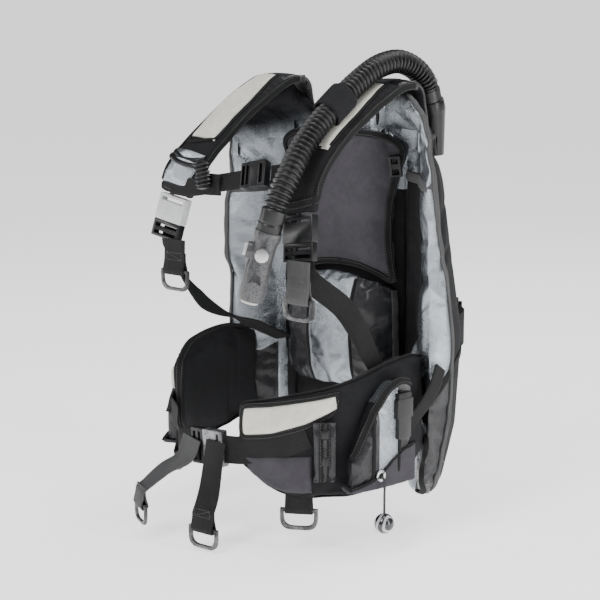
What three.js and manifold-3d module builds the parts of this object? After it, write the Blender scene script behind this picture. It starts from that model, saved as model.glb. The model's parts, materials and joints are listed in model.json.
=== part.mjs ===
// Buoyancy compensator vest for scuba diving, in millimetres, +Z up.
// The wearer faces -Y and the wearer's left is +X.
// Origin: the middle of the flat rear face of the backpack plate, at the height of the tank band.
import * as THREE from "three";
import { mergeVertices } from "three/addons/utils/BufferGeometryUtils.js";
import Module from "manifold-3d";

const wasm = await Module();
wasm.setup();

// ---------------------------------------------------------------- driving dimensions
const VEST_WIDTH = 380; // across the front edges of the two air cells
const VEST_DEPTH = 300; // from the plate to the waist buckle
const VEST_HEIGHT = 560; // from the foot of the air cells to the top of the shoulders
const GAP = 0.4; // between pieces that touch

const PLATE_THICK = 8; // moulded backpack plate
const PLATE_HALF = 70;
const PLATE_TOP = 225;
const PLATE_FOOT = -135;
const TANK_RADIUS = 92;
const BAND_HIGH = 50; // tank band webbing
const BAND_THICK = 2.6;
const CENTRE_HALF = 97; // centre panel between the two air cells
const PAD_THICK = 13; // upper back pad
const LUMBAR_THICK = 46;
const LOBE_THICK = 14; // padded waist lobes
const POUCH_THICK = 24; // weight pouches
const FLAP_THICK = 3; // pocket walls
const STRAP_THICK = 14; // padded shoulder straps
const STRAP_WIDE = 64;

const WEB = 38; // waist, tail and ring webbing
const HIP_WEB = 30; // webbing from a shoulder buckle to the hip
const CHEST_WEB = 25;
const WEB_THICK = 2.4;
const RING_WIRE = 5; // D-ring section
const RING_DROP = 27; // D-ring height below its bar
const BUCKLE_THICK = 13;

const HOSE_RADIUS = 16.5; // corrugated inflator hose
const KEEPER_WALL = 3.5;
const INFLATOR_RADIUS = 17;
const BUTTON_RADIUS = 8.5;
const KNOB_RADIUS = 14;
const CORD_RADIUS = 1.8;

// The layout is drawn for a medium vest, and stretches with the three overall sizes.
const WIDE = VEST_WIDTH / 380;
const DEEP = VEST_DEPTH / 300;
const TALL = VEST_HEIGHT / 560;
const PANEL_BACK = -(PLATE_THICK + BAND_THICK + 2 * GAP); // rear face of the soft back
const PANEL_FRONT = PANEL_BACK - 27;
const across = (x) => x * WIDE;
const forward = (y) => (y < PANEL_BACK ? PANEL_BACK + (y - PANEL_BACK) * DEEP : y);
const up = (z) => z * TALL;
const at = (x, y, z) => new THREE.Vector3(across(x), forward(y), up(z));
const V = (x, y, z) => new THREE.Vector3(x, y, z);
const DOWN = V(0, 0, -1);
const SIDES = { left: 1, right: -1 };

// ---------------------------------------------------------------- materials
const finish = (color, roughness, metalness = 0) =>
  new THREE.MeshStandardMaterial({ color, roughness, metalness });
const BLACK_NYLON = finish(0x1c1c1e, 0.8);
const GREY_NYLON = finish(0x4b4950, 0.85);
const GLOSS_FABRIC = finish(0x2a2c30, 0.3);
const SILVER_FABRIC = finish(0xb4b8bc, 0.35);
const CREAM_FABRIC = finish(0xd9d6c8, 0.6);
const WEBBING = finish(0x2b2b2c, 0.9);
const BLACK_PLASTIC = finish(0x141416, 0.45);
const BLACK_RUBBER = finish(0x18181b, 0.5);
const STEEL = finish(0x8a8c90, 0.3, 1);
const GREY_PLASTIC = finish(0x8c8d90, 0.4);

// ---------------------------------------------------------------- solids
const group = new THREE.Group();

function volumeOf(geometry) {
  const p = geometry.getAttribute("position");
  const order = geometry.index ? geometry.index.array : [...Array(p.count).keys()];
  const corner = (i) => new THREE.Vector3().fromBufferAttribute(p, order[i]);
  let total = 0;
  for (let i = 0; i < order.length; i += 3)
    total += corner(i).dot(corner(i + 1).cross(corner(i + 2)));
  return total / 6;
}

// Turns a closed geometry so that its faces point out.
function facingOut(geometry) {
  if (volumeOf(geometry) >= 0) return geometry;
  const index = [...geometry.index.array];
  for (let i = 0; i < index.length; i += 3) [index[i], index[i + 1]] = [index[i + 1], index[i]];
  geometry.setIndex(index);
  return geometry;
}

function bare(geometry) {
  const g = geometry.clone();
  g.deleteAttribute("normal");
  g.deleteAttribute("uv");
  return facingOut(mergeVertices(g, 1e-3));
}

function solid(geometry) {
  const g = bare(geometry);
  return new wasm.Manifold(
    new wasm.Mesh({
      numProp: 3,
      vertProperties: g.attributes.position.array,
      triVerts: new Uint32Array(g.index.array),
    }),
  );
}

function geometryOf(manifold) {
  const m = manifold.getMesh();
  const v = new Float32Array(m.numVert * 3);
  for (let i = 0; i < m.numVert; i++)
    v.set(m.vertProperties.subarray(i * m.numProp, i * m.numProp + 3), i * 3);
  const g = new THREE.BufferGeometry().setAttribute("position", new THREE.BufferAttribute(v, 3));
  g.setIndex([...m.triVerts]);
  g.computeVertexNormals();
  return g;
}

const joined = (...parts) => geometryOf(parts.map(solid).reduce((a, b) => a.add(b)));
const cut = (body, ...tools) => geometryOf(tools.map(solid).reduce((a, b) => a.subtract(b), solid(body)));

function add(name, geometry, material) {
  const mesh = new THREE.Mesh(bare(geometry), material);
  mesh.geometry.computeVertexNormals();
  mesh.name = name;
  group.add(mesh);
  return mesh;
}

// A closed skin over rings of points, each with as many points as the next, with a fan over each end.
function loft(rings) {
  const n = rings[0].length;
  const middle = (ring) => ring.reduce((a, p) => a.add(p), V(0, 0, 0)).divideScalar(n);
  const points = [...rings.flat(), middle(rings[0]), middle(rings.at(-1))];
  const index = [];
  for (let r = 0; r + 1 < rings.length; r++)
    for (let i = 0; i < n; i++) {
      const [a, b] = [r * n + i, r * n + ((i + 1) % n)];
      index.push(a, b, b + n, a, b + n, a + n);
    }
  const [foot, head, last] = [points.length - 2, points.length - 1, (rings.length - 1) * n];
  for (let i = 0; i < n; i++) {
    index.push(foot, (i + 1) % n, i);
    index.push(head, last + i, last + ((i + 1) % n));
  }
  const g = new THREE.BufferGeometry().setFromPoints(points);
  g.setIndex(index);
  return g;
}

// A matrix whose local X runs along, Y across and Z out, at a place.
function frame(place, along, out) {
  const x = along.clone().normalize();
  const z = out.clone().addScaledVector(x, -out.dot(x)).normalize();
  return new THREE.Matrix4().makeBasis(x, V(0, 0, 0).crossVectors(z, x), z).setPosition(place);
}

const placed = (geometry, matrix) => geometry.clone().applyMatrix4(matrix);
const block = (lx, ly, lz, x = 0, y = 0, z = 0) =>
  new THREE.BoxGeometry(lx, ly, lz).translate(x, y, z);

// A rod from one place to another.
function rod(from, to, radius, sides = 12, endRadius = radius) {
  const along = to.clone().sub(from);
  const turn = new THREE.Quaternion().setFromUnitVectors(V(0, 1, 0), along.clone().normalize());
  return new THREE.CylinderGeometry(endRadius, radius, along.length(), sides)
    .applyQuaternion(turn)
    .translate(...from.clone().lerp(to, 0.5).toArray());
}

// Webbing or a padded strap: a flat section that follows the points, its face turned to the looks.
function ribbon(points, looks, width, thick, steps) {
  const curve = new THREE.CatmullRomCurve3(points, false, "centripetal");
  const rings = [];
  for (let i = 0; i <= steps; i++) {
    const t = i / steps;
    const place = curve.getPoint(t);
    const along = curve.getTangent(t);
    const k = t * (looks.length - 1);
    const low = Math.min(Math.floor(k), looks.length - 2);
    const out = looks[low].clone().lerp(looks[low + 1], k - low);
    out.addScaledVector(along, -out.dot(along)).normalize();
    const side = V(0, 0, 0).crossVectors(along, out);
    const wide = typeof width === "function" ? width(t) : width;
    rings.push(
      [[-1, -1], [1, -1], [1, 1], [-1, 1]].map(([a, b]) =>
        place.clone().addScaledVector(side, (a * wide) / 2).addScaledVector(out, (b * thick) / 2),
      ),
    );
  }
  return loft(rings);
}

// A tube of round section along the points.
function tube(points, radius, sides, steps) {
  const corners = [...Array(sides).keys()].map((i) => {
    const a = (2 * Math.PI * i) / sides;
    return new THREE.Vector2(radius * Math.cos(a), radius * Math.sin(a));
  });
  return new THREE.ExtrudeGeometry(new THREE.Shape(corners), {
    steps,
    bevelEnabled: false,
    extrudePath: new THREE.CatmullRomCurve3(points, false, "centripetal"),
  });
}

// ---------------------------------------------------------------- waist layout
// The inner face of each waist lobe in plan, from the back to its front end.
const LEFT_WAIST = [
  [146, -64], [153, -96], [152, -136], [147, -182], [137, -222], [114, -251], [84, -269], [52, -281], [20, -289],
];
const RIGHT_WAIST = [
  [-146, -64], [-163, -95], [-169, -140], [-163, -190], [-146, -230],
];
const STATIONS = 28;
const RIGHT_STATIONS = 16;

function stationsOf(plan, count, side) {
  const curve = new THREE.CatmullRomCurve3(plan.map(([x, y]) => at(x, y, 0)), false, "centripetal");
  const places = curve.getSpacedPoints(count);
  return places.map((place, i) => {
    const t = places[Math.min(i + 1, count)].clone().sub(places[Math.max(i - 1, 0)]).normalize();
    return { place, out: V(-t.y, t.x, 0).multiplyScalar(side) };
  });
}

const WAIST = {
  left: stationsOf(LEFT_WAIST, STATIONS, 1),
  right: stationsOf(RIGHT_WAIST, RIGHT_STATIONS, -1),
};

// A point on a waist path, f stations along it, that far outside its inner face, at height z.
function onWaist(stations, f, offset, z) {
  const i = Math.min(Math.floor(f), stations.length - 2);
  const corner = (s) => s.place.clone().addScaledVector(s.out, offset);
  return corner(stations[i]).lerp(corner(stations[i + 1]), f - i).setZ(z);
}

// A band round the waist between two stations, two offsets and two heights.
function band(stations, from, to, inner, outer, bottom, top) {
  const stops = [from];
  for (let i = Math.floor(from) + 1; i < to; i++) stops.push(i);
  stops.push(to);
  const value = (v, f) => (typeof v === "function" ? v((f - from) / (to - from)) : v);
  return loft(
    stops.map((f) => {
      const [low, high] = [value(bottom, f), value(top, f)];
      return [[inner, low], [outer, low], [outer, high], [inner, high]].map(([o, z]) =>
        onWaist(stations, f, o, z),
      );
    }),
  );
}

// Heights that pass through evenly spaced values.
function through(...values) {
  const curve = new THREE.SplineCurve(values.map((v, i) => new THREE.Vector2(i, up(v))));
  return (t) => curve.getPoint(t).y;
}

// ---------------------------------------------------------------- backpack plate, band and handle
function backpackPlate() {
  const outline = new THREE.Shape();
  outline.moveTo(-PLATE_HALF + 15, PLATE_FOOT);
  outline.lineTo(PLATE_HALF - 15, PLATE_FOOT);
  outline.quadraticCurveTo(PLATE_HALF, PLATE_FOOT, PLATE_HALF, PLATE_FOOT + 18);
  outline.lineTo(PLATE_HALF, 45);
  outline.quadraticCurveTo(PLATE_HALF - 18, 90, PLATE_HALF - 14, 150);
  outline.lineTo(PLATE_HALF - 6, PLATE_TOP - 20);
  outline.quadraticCurveTo(PLATE_HALF - 8, PLATE_TOP, PLATE_HALF - 28, PLATE_TOP);
  outline.lineTo(-PLATE_HALF + 28, PLATE_TOP);
  outline.quadraticCurveTo(-PLATE_HALF + 8, PLATE_TOP, -PLATE_HALF + 6, PLATE_TOP - 20);
  outline.lineTo(-PLATE_HALF + 14, 150);
  outline.quadraticCurveTo(-PLATE_HALF + 18, 90, -PLATE_HALF, 45);
  outline.lineTo(-PLATE_HALF, PLATE_FOOT + 18);
  outline.quadraticCurveTo(-PLATE_HALF, PLATE_FOOT, -PLATE_HALF + 15, PLATE_FOOT);
  const plate = new THREE.ExtrudeGeometry(outline, {
    depth: PLATE_THICK,
    bevelEnabled: false,
    curveSegments: 4,
  }).rotateX(Math.PI / 2);
  const window = (w, h, x, z) => block(w, 3 * PLATE_THICK, h, x, -PLATE_THICK / 2, z);
  const slots = [-1, 1].map((s) => window(BAND_THICK + 5, BAND_HIGH + 3, s * SLOT_X, 0));
  const low = [-1, 1].map((s) => window(22, 46, s * 22, -90));
  const open = cut(plate, ...slots, ...low, window(44, 50, 0, 80), window(36, 44, 0, 150));
  return joined(open, ...[-1, 1].map((s) => block(10, 8, 250, s * GRIP_X, 3.5, 55)));
}
const SLOT_X = PLATE_HALF - 11;
const GRIP_X = 42; // rubber tank grips stand behind the plate
add("backpack_plate", backpackPlate(), BLACK_PLASTIC);

// The tank band runs in front of the plate, out through its slots and round the tank.
function tankBand() {
  const outline = (inset) => {
    const [side, radius] = [SLOT_X + BAND_THICK / 2 - inset, TANK_RADIUS + 0.6 + BAND_THICK - inset];
    const start = Math.asin(side / radius);
    const points = [new THREE.Vector2(-side, bandY + inset), new THREE.Vector2(side, bandY + inset)];
    for (let i = 0; i <= 22; i++) {
      const a = start + ((2 * Math.PI - 2 * start) * i) / 22;
      points.push(new THREE.Vector2(radius * Math.sin(a), TANK_RADIUS - radius * Math.cos(a)));
    }
    return points;
  };
  const loop = new THREE.Shape(outline(0));
  loop.holes.push(new THREE.Path(outline(BAND_THICK)));
  return new THREE.ExtrudeGeometry(loop, { depth: BAND_HIGH, bevelEnabled: false }).translate(0, 0, -BAND_HIGH / 2);
}
const bandY = -PLATE_THICK - GAP - BAND_THICK;
add("tank_band", tankBand(), WEBBING);

// Cam buckle on the band behind the tank: base with two cheeks, and a lever that turns on its pin.
const CAM_AT = V(0, 2 * TANK_RADIUS + BAND_THICK + 0.6 + GAP, 0);
const CAM_PIN = CAM_AT.clone().add(V(-24, 9, 0));
function camBase() {
  const cheeks = [-1, 1].map((s) => block(22, 12, 4, CAM_PIN.x, CAM_AT.y + 7, s * (BAND_HIGH / 2 + 5)));
  return joined(block(74, 4, BAND_HIGH + 14, 0, CAM_AT.y + 2, 0), ...cheeks);
}
function camLever() {
  const half = BAND_HIGH / 2 + 3 - 2 * GAP;
  const barrel = rod(V(CAM_PIN.x, CAM_PIN.y, -half), V(CAM_PIN.x, CAM_PIN.y, half), 4.2, 12);
  return joined(barrel, block(62, 3.5, 2 * half - 4, CAM_PIN.x + 32, CAM_PIN.y, 0));
}
add("cam_buckle_base", camBase(), BLACK_PLASTIC);
add("cam_lever", camLever(), BLACK_PLASTIC);

const HANDLE_Z = PLATE_TOP - 32;
add(
  "carry_handle",
  ribbon(
    [V(-34, 1.7, HANDLE_Z), V(-28, 6, HANDLE_Z + 12), V(0, 26, HANDLE_Z + 24), V(28, 6, HANDLE_Z + 12), V(34, 1.7, HANDLE_Z)],
    [V(0, 1, 0), V(0, 1, 0.2), V(0, 1, 0.5), V(0, 1, 0.2), V(0, 1, 0)],
    24,
    2.4,
    10,
  ),
  WEBBING,
);

// ---------------------------------------------------------------- air cells and back pads
// Plan sections of the left air cell, each [height, [x, y] points round it].
const CELL_SECTIONS = [
  [-204, [[112, -38], [124, -40], [136, -46], [146, -48], [150, -40], [146, -26], [134, -14], [120, -12], [112, -22]]],
  [-178, [[98, -37], [126, -38], [146, -62], [158, -76], [164, -52], [154, -22], [136, 4], [112, 10], [98, 0]]],
  [-100, [[98, -37], [126, -38], [154, -64], [176, -82], [180, -50], [166, -10], [142, 22], [114, 32], [98, 14]]],
  [27, [[98, -37], [126, -38], [158, -70], [185, -94], [187, -60], [173, -8], [146, 27], [112, 36], [98, 16]]],
  [165, [[98, -37], [126, -38], [158, -72], [183, -97], [185, -74], [171, -38], [146, -6], [114, 8], [98, -4]]],
  [262, [[98, -37], [126, -38.5], [156, -72], [180, -95], [180, -78], [164, -48], [142, -24], [116, -14], [98, -18]]],
  [306, [[60, -38], [124, -38.5], [154, -80], [178, -97], [178, -82], [156, -56], [130, -38], [96, -30], [58, -30]]],
  [338, [[62, -46], [100, -64], [140, -88], [168, -97], [168, -84], [142, -66], [116, -50], [90, -42], [60, -40]]],
  [363, [[82, -60], [98, -64], [112, -68], [126, -70], [126, -66], [114, -60], [104, -54], [92, -50], [82, -54]]],
];
const cells = {};
for (const [side, s] of Object.entries(SIDES)) {
  cells[side] = loft(CELL_SECTIONS.map(([z, ring]) => ring.map(([x, y]) => at(s * x, y, z))));
  add(`air_cell_${side}`, cells[side], SILVER_FABRIC);
}

// The outline of a pad in front of the back, from its half widths at some heights.
function padOutline(rows) {
  const right = rows.map(([x, z]) => new THREE.Vector2(across(x), up(z)));
  const left = [...right].reverse().filter((p) => p.x > 0).map((p) => new THREE.Vector2(-p.x, p.y));
  return new THREE.Shape([...right, ...left]);
}
const slab = (rows, thick, front) =>
  new THREE.ExtrudeGeometry(padOutline(rows), { depth: thick, bevelEnabled: false })
    .rotateX(Math.PI / 2)
    .translate(0, front + thick, 0);

const CENTRE_OUTLINE = [
  [80, -160], [CENTRE_HALF, -135], [CENTRE_HALF, 262], [57, 300], [57, 340], [34, 322],
];
add("centre_panel", slab(CENTRE_OUTLINE, PANEL_BACK - PANEL_FRONT, PANEL_FRONT), BLACK_NYLON);

const UPPER_PAD = [
  [0, 112], [30, 110], [60, 104], [94, 92], [89, 118], [84, 165], [88, 212], [100, 252], [111, 282], [94, 297], [57, 305],
];
const padBack = PANEL_FRONT - GAP;
const upperPad = slab(UPPER_PAD, PAD_THICK, padBack - PAD_THICK);

// The lumbar pad is a crowned cushion under the upper pad.
function lumbarPad() {
  const rows = [[-64, 90, 0.55, 0], [-40, 98, 0.85, 0], [10, 99, 1, 6], [52, 97, 0.95, 14], [80, 93, 0.7, 19], [89, 90, 0.5, 20]];
  const back = padBack;
  return loft(
    rows.map(([z, half, crown, arch]) =>
      [[-1, 0], [-0.92, 0.55], [-0.5, 0.95], [0, 1], [0.5, 0.95], [0.92, 0.55], [1, 0]].map(([x, depth]) =>
        V(across(x * half), back - depth * crown * LUMBAR_THICK, up(z + arch * (1 - x * x))),
      ),
    ),
  );
}
add("upper_back_pad", upperPad, GREY_NYLON);
add("lumbar_pad", lumbarPad(), GLOSS_FABRIC);

// ---------------------------------------------------------------- waist lobes, pouches and pockets
const LEFT_TOP = through(2, 12, 6, -6, -18, -30, -40);
const LEFT_FOOT = through(-124, -146, -158, -162, -160, -154, -122);
const RIGHT_TOP = through(2, 10, 6, -2, -22);
const RIGHT_FOOT = through(-120, -138, -146, -142, -118);
const lobes = {
  left: band(WAIST.left, 0, STATIONS, 0, LOBE_THICK, LEFT_FOOT, LEFT_TOP),
  right: band(WAIST.right, 0, RIGHT_STATIONS, 0, LOBE_THICK, RIGHT_FOOT, RIGHT_TOP),
};

// Each side's pouch, pocket and ring places, in stations along its lobe.
const POCKETS = {
  left: { pouch: [6.8, 15.4], zip: [16.4, 18.8], ring: 20.4, ringTop: -159 },
  right: { pouch: [5.6, 12.8], ring: 14.8, ringTop: -131 },
};
const POUCH_FOOT = up(-148);
const POUCH_TOP = through(-14, -8, -18, -46, -106);
const pouchOut = LOBE_THICK + 2 * GAP + POUCH_THICK;

// An open-topped patch pocket that holds the pouch against the lobe.
function pouchPocket(stations, [from, to]) {
  const wall = through(-98, -104, -120, -138, -146);
  const edge = 0.35;
  const floor = POUCH_FOOT - FLAP_THICK - GAP;
  return joined(
    band(stations, from - edge, to + edge, pouchOut + GAP, pouchOut + GAP + FLAP_THICK, floor, wall),
    band(stations, from - edge, to + edge, LOBE_THICK + GAP, pouchOut + 1, floor, POUCH_FOOT - GAP),
    band(stations, from - edge, from - 0.08, LOBE_THICK + GAP, pouchOut + 1, POUCH_FOOT - FLAP_THICK, up(-102)),
    band(stations, to + 0.08, to + edge, LOBE_THICK + GAP, pouchOut + 1, POUCH_FOOT - FLAP_THICK, up(-145.5)),
  );
}

// A D-ring lying in local X-Z, its straight bar on local X at the origin, hanging down.
function dRing(web) {
  const half = web / 2 + 1.5 + RING_WIRE / 2;
  const outer = half + RING_WIRE / 2;
  const inner = half - RING_WIRE / 2;
  const corner = 6;
  const profile = (x, top, foot) => {
    const s = new THREE.Shape();
    s.moveTo(-x, top);
    s.lineTo(-x, foot + x * 0.62);
    s.quadraticCurveTo(-x, foot, -x + corner + x * 0.35, foot);
    s.lineTo(x - corner - x * 0.35, foot);
    s.quadraticCurveTo(x, foot, x, foot + x * 0.62);
    s.lineTo(x, top);
    return s;
  };
  const shape = profile(outer, RING_WIRE / 2, -RING_DROP);
  shape.holes.push(new THREE.Path(profile(inner, -RING_WIRE / 2, -RING_DROP + RING_WIRE).getPoints(5).reverse()));
  return new THREE.ExtrudeGeometry(shape, { depth: RING_WIRE, bevelEnabled: false, curveSegments: 5 })
    .rotateX(Math.PI / 2)
    .translate(0, RING_WIRE / 2, 0);
}

// Webbing folded round a ring's bar: a flat end with an eye, local X across, Z up from the bar.
function ringTab(web, tall, thick = WEB_THICK) {
  const eye = RING_WIRE * 0.71 + GAP;
  const shell = rod(V(-web / 2, 0, 0), V(web / 2, 0, 0), eye + 1.8, 12);
  const hole = rod(V(-web, 0, 0), V(web, 0, 0), eye, 12);
  return cut(joined(shell, block(web, thick, tall, 0, 0, eye + tall / 2)), hole);
}
const standing = (place, look) => frame(place, V(0, 0, 0).crossVectors(look, V(0, 0, 1)), V(0, 0, 1));

const rings = {};
function hangRing(name, place, look, web) {
  rings[name] = { place, look };
  add(name, placed(dRing(web), standing(place, look)), STEEL);
}

for (const [side, s] of Object.entries(SIDES)) {
  const stations = WAIST[side];
  const { pouch, ring, ringTop } = POCKETS[side];
  add(`weight_pouch_${side}`, band(stations, ...pouch, LOBE_THICK + 2 * GAP, pouchOut, POUCH_FOOT, POUCH_TOP), SILVER_FABRIC);
  add(`pouch_pocket_${side}`, pouchPocket(stations, pouch), BLACK_NYLON);
  // A tab sewn to the lobe's lower edge carries its ring.
  const look = onWaist(stations, ring, 1, 0).sub(onWaist(stations, ring, 0, 0)).normalize();
  const place = onWaist(stations, ring, LOBE_THICK / 2, up(ringTop) - 22);
  const tab = placed(ringTab(WEB, 32), standing(place, look));
  // The lobe's back end is scooped to sit against its air cell.
  const cell = cells[side];
  const scooped = cut(lobes[side], cell.clone().translate(0, -GAP, 0), cell.clone().translate(-s * GAP, -GAP, 0));
  add(`waist_lobe_${side}`, joined(scooped, tab), BLACK_NYLON);
  hangRing(`pocket_ring_${side}`, place, look, WEB);
  // Release buckle on the pouch face, with its webbing down into the pocket.
  const mid = pouch[0] + (pouch[1] - pouch[0]) * 0.26;
  const face = onWaist(stations, mid, 1, 0).sub(onWaist(stations, mid, 0, 0)).normalize();
  const seat = onWaist(stations, mid, pouchOut + GAP, up(-56)).addScaledVector(face, 4.6);
  const body = placed(joined(block(24, 62, 8), block(30, 26, 9.2, 0, 10)), frame(seat, V(0, 0, 0).crossVectors(V(0, 0, 1), face), face));
  add(`pouch_buckle_${side}`, body, BLACK_PLASTIC);
}

// Crumpled zip pocket on the left lobe, in front of the pouch, with two sliders on one zip.
const ZIP_TOP = up(-56);
const ZIP_FOOT = up(-140);
const ZIP_OUT = LOBE_THICK + GAP + 9;
add("zip_pocket", band(WAIST.left, ...POCKETS.left.zip, LOBE_THICK + GAP, ZIP_OUT, ZIP_FOOT, ZIP_TOP), GLOSS_FABRIC);
const zipFace = onWaist(WAIST.left, 17.6, 1, 0).sub(onWaist(WAIST.left, 17.6, 0, 0)).normalize();
for (const [name, z] of [["zip_slider_upper", -72], ["zip_slider_lower", -108]]) {
  const seat = onWaist(WAIST.left, 17.6, ZIP_OUT + GAP, up(z)).addScaledVector(zipFace, 2.2);
  const slider = joined(block(10, 12, 4.4), block(5, 15, 2.2, 0, -10, 0.6));
  add(name, placed(slider, frame(seat, V(0, 0, 0).crossVectors(V(0, 0, 1), zipFace), zipFace)), STEEL);
}

// Webbing that ties each pouch pocket back to its air cell, standing this far off the lobe.
const WEB_OUT = { left: 1.3, right: 3 };
for (const [side, s] of Object.entries(SIDES)) {
  const stations = WAIST[side];
  const pocketEnd = onWaist(stations, POCKETS[side].pouch[0] - 1.7, LOBE_THICK + WEB_OUT[side] + WEB_THICK / 2, up(-84));
  add(
    `side_web_${side}`,
    ribbon([at(s * 188.5, -72, -8), at(s * 190, -92, -38), pocketEnd], [V(s, -0.02, 0), V(s, -0.02, 0), V(s, 0.02, 0)], CHEST_WEB, WEB_THICK, 5),
    WEBBING,
  );
}

// ---------------------------------------------------------------- waist belt
const beltOut = LOBE_THICK + GAP;
const BELT_ALONG = V(1, -0.1, 0.08).normalize();
const BUCKLE_AT = at(3.8, -308.6, -105.1).addScaledVector(BELT_ALONG, -WEB * 0.95);
const BELT_LOOK = V(-0.1, -1, 0);

// A side-release buckle: local X along the belt towards the female end, Z out.
function buckleFemale(web) {
  const wide = web + 11;
  const long = web * 0.95;
  const shell = block(long, wide, BUCKLE_THICK, long / 2);
  const throat = block(long * 0.55, wide - 8, BUCKLE_THICK - 5, long * 0.27 - 1);
  const slot = block(5.2, web + 2, BUCKLE_THICK + 2, long - 7);
  return cut(shell, throat, slot);
}
function buckleMale(web) {
  const wide = web + 11;
  const long = web * 0.62;
  const bar = block(long, wide, BUCKLE_THICK - 2, -long / 2 - GAP);
  const slots = [0.32, 0.74].map((f) => block(4.6, web + 2, BUCKLE_THICK, -long * f - GAP));
  const reach = web * 0.45;
  const prongs = [-1, 0, 1].map((k) => block(reach + 1, 4.5, BUCKLE_THICK - 7, reach / 2 - 0.8, k * (wide / 2 - 8)));
  return cut(joined(bar, ...prongs), ...slots);
}

const beltFrame = frame(BUCKLE_AT, BELT_ALONG, BELT_LOOK);
const onBelt = (x, z = 0, y = 0) => V(x, y, z).applyMatrix4(beltFrame);
add("waist_buckle_female", placed(buckleFemale(WEB), beltFrame), BLACK_PLASTIC);
add("waist_buckle_male", placed(buckleMale(WEB), beltFrame), BLACK_PLASTIC);

// Belt webbing follows each lobe and ends just short of its buckle half.
const femaleEnd = WEB * 0.95 + 1.5 * GAP;
const maleEnd = -(WEB * 0.62 + 2 * GAP);
// The right web passes behind the male half, which slides out along it.
const behindMale = -(BUCKLE_THICK / 2 - 1 + GAP + WEB_THICK / 2);
const BELT_FROM = { left: 19.4, right: 13.4 };
const BELT_RISE = { left: [-74, -96, -104], right: [-78, -86, -92] };
const BELT_PATH = {
  left: [onBelt(femaleEnd + 6), onBelt(femaleEnd)],
  right: [at(-122, -264, -95), onBelt(-66, behindMale - 3), onBelt(-44, behindMale - 0.4), onBelt(-8, behindMale)],
};
for (const side of Object.keys(SIDES)) {
  const stations = WAIST[side];
  const last = stations.length - 1;
  const rise = through(...BELT_RISE[side]);
  const start = onWaist(stations, last - 0.2, beltOut + WEB_THICK / 2 + 2, rise(1));
  const look = onWaist(stations, last, 1, 0).sub(onWaist(stations, last, 0, 0));
  const path = [start, ...BELT_PATH[side]];
  add(
    `waist_web_${side}`,
    joined(
      band(stations, BELT_FROM[side], last, beltOut, beltOut + WEB_THICK, (t) => rise(t) - WEB / 2, (t) => rise(t) + WEB / 2),
      ribbon(path, [look, ...path.slice(1).map(() => BELT_LOOK)], WEB, WEB_THICK, 8),
    ),
    WEBBING,
  );
}

// Each tail: its root, how it leaves the buckle, its sag, its rise above the ring, and the way the ring faces.
const tails = {
  left: {
    root: onBelt(femaleEnd - 9, BUCKLE_THICK / 2 + 1.2 + GAP),
    foot: at(2, -350, -203),
    lead: V(0, -6, -18),
    sag: V(0, 0, 0),
    rise: V(0, 6, 26),
    look: V(0, -1, 0),
  },
  right: {
    root: onBelt(maleEnd + 3, BUCKLE_THICK / 2 + 0.2 + GAP),
    foot: at(-104, -360, -186),
    lead: V(-6, -8, -14),
    sag: V(-2, -2, 6),
    rise: V(6, 6, 20),
    look: V(-0.5, -0.87, 0).normalize(),
  },
};
for (const [side, { root, foot, lead, sag, rise, look }] of Object.entries(tails)) {
  const drop = foot.clone().add(V(0, 0, 4));
  const place = foot.clone().add(V(0, 0, -4));
  const start = root.clone().add(V(0, 0, WEB / 2 - 8));
  const middle = root.clone().lerp(foot, 0.5).add(sag);
  const halfLook = BELT_LOOK.clone().add(look).add(V(0, 0, 0.5));
  const strap = ribbon(
    [start, root.clone().add(lead), middle, drop.clone().add(rise), drop],
    [BELT_LOOK, BELT_LOOK, halfLook, look, look],
    WEB,
    WEB_THICK,
    10,
  );
  add(`waist_tail_${side}`, joined(strap, placed(ringTab(WEB, 8), standing(place, look))), WEBBING);
  hangRing(`tail_ring_${side}`, place, look, WEB);
}

// ---------------------------------------------------------------- shoulder straps
const STRAP_PATHS = {
  left: [
    [99, -46, 370.5], [99, -74, 371], [95, -114, 356], [91, -160, 331], [88, -202, 302], [88, -236, 270], [92, -256, 240], [96, -261, 215],
  ],
  right: [
    [-99, -46, 370.5], [-101, -74, 371], [-102, -114, 356], [-103, -160, 332], [-105, -202, 304], [-110, -238, 275], [-117, -257, 248], [-121.5, -262.5, 222],
  ],
};
const STRAP_LOOKS = [V(0, 0.2, 1), V(0, -0.1, 1), V(0, -0.45, 1), V(0, -0.6, 0.8), V(0, -0.75, 0.7), V(0, -0.9, 0.5), V(0, -0.95, 0.3), V(0, -0.97, 0.2)];
const SHOULDER_BUCKLE = { along: V(0.16, -0.2, -0.97).normalize(), look: V(0, -0.97, 0.2) };
const strapCurves = {};
const ringAside = { left: 4, right: 24 }; // how far each chest ring hangs from its buckle's middle, along +X
const ringDrop = { left: 50, right: 42 };

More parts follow.
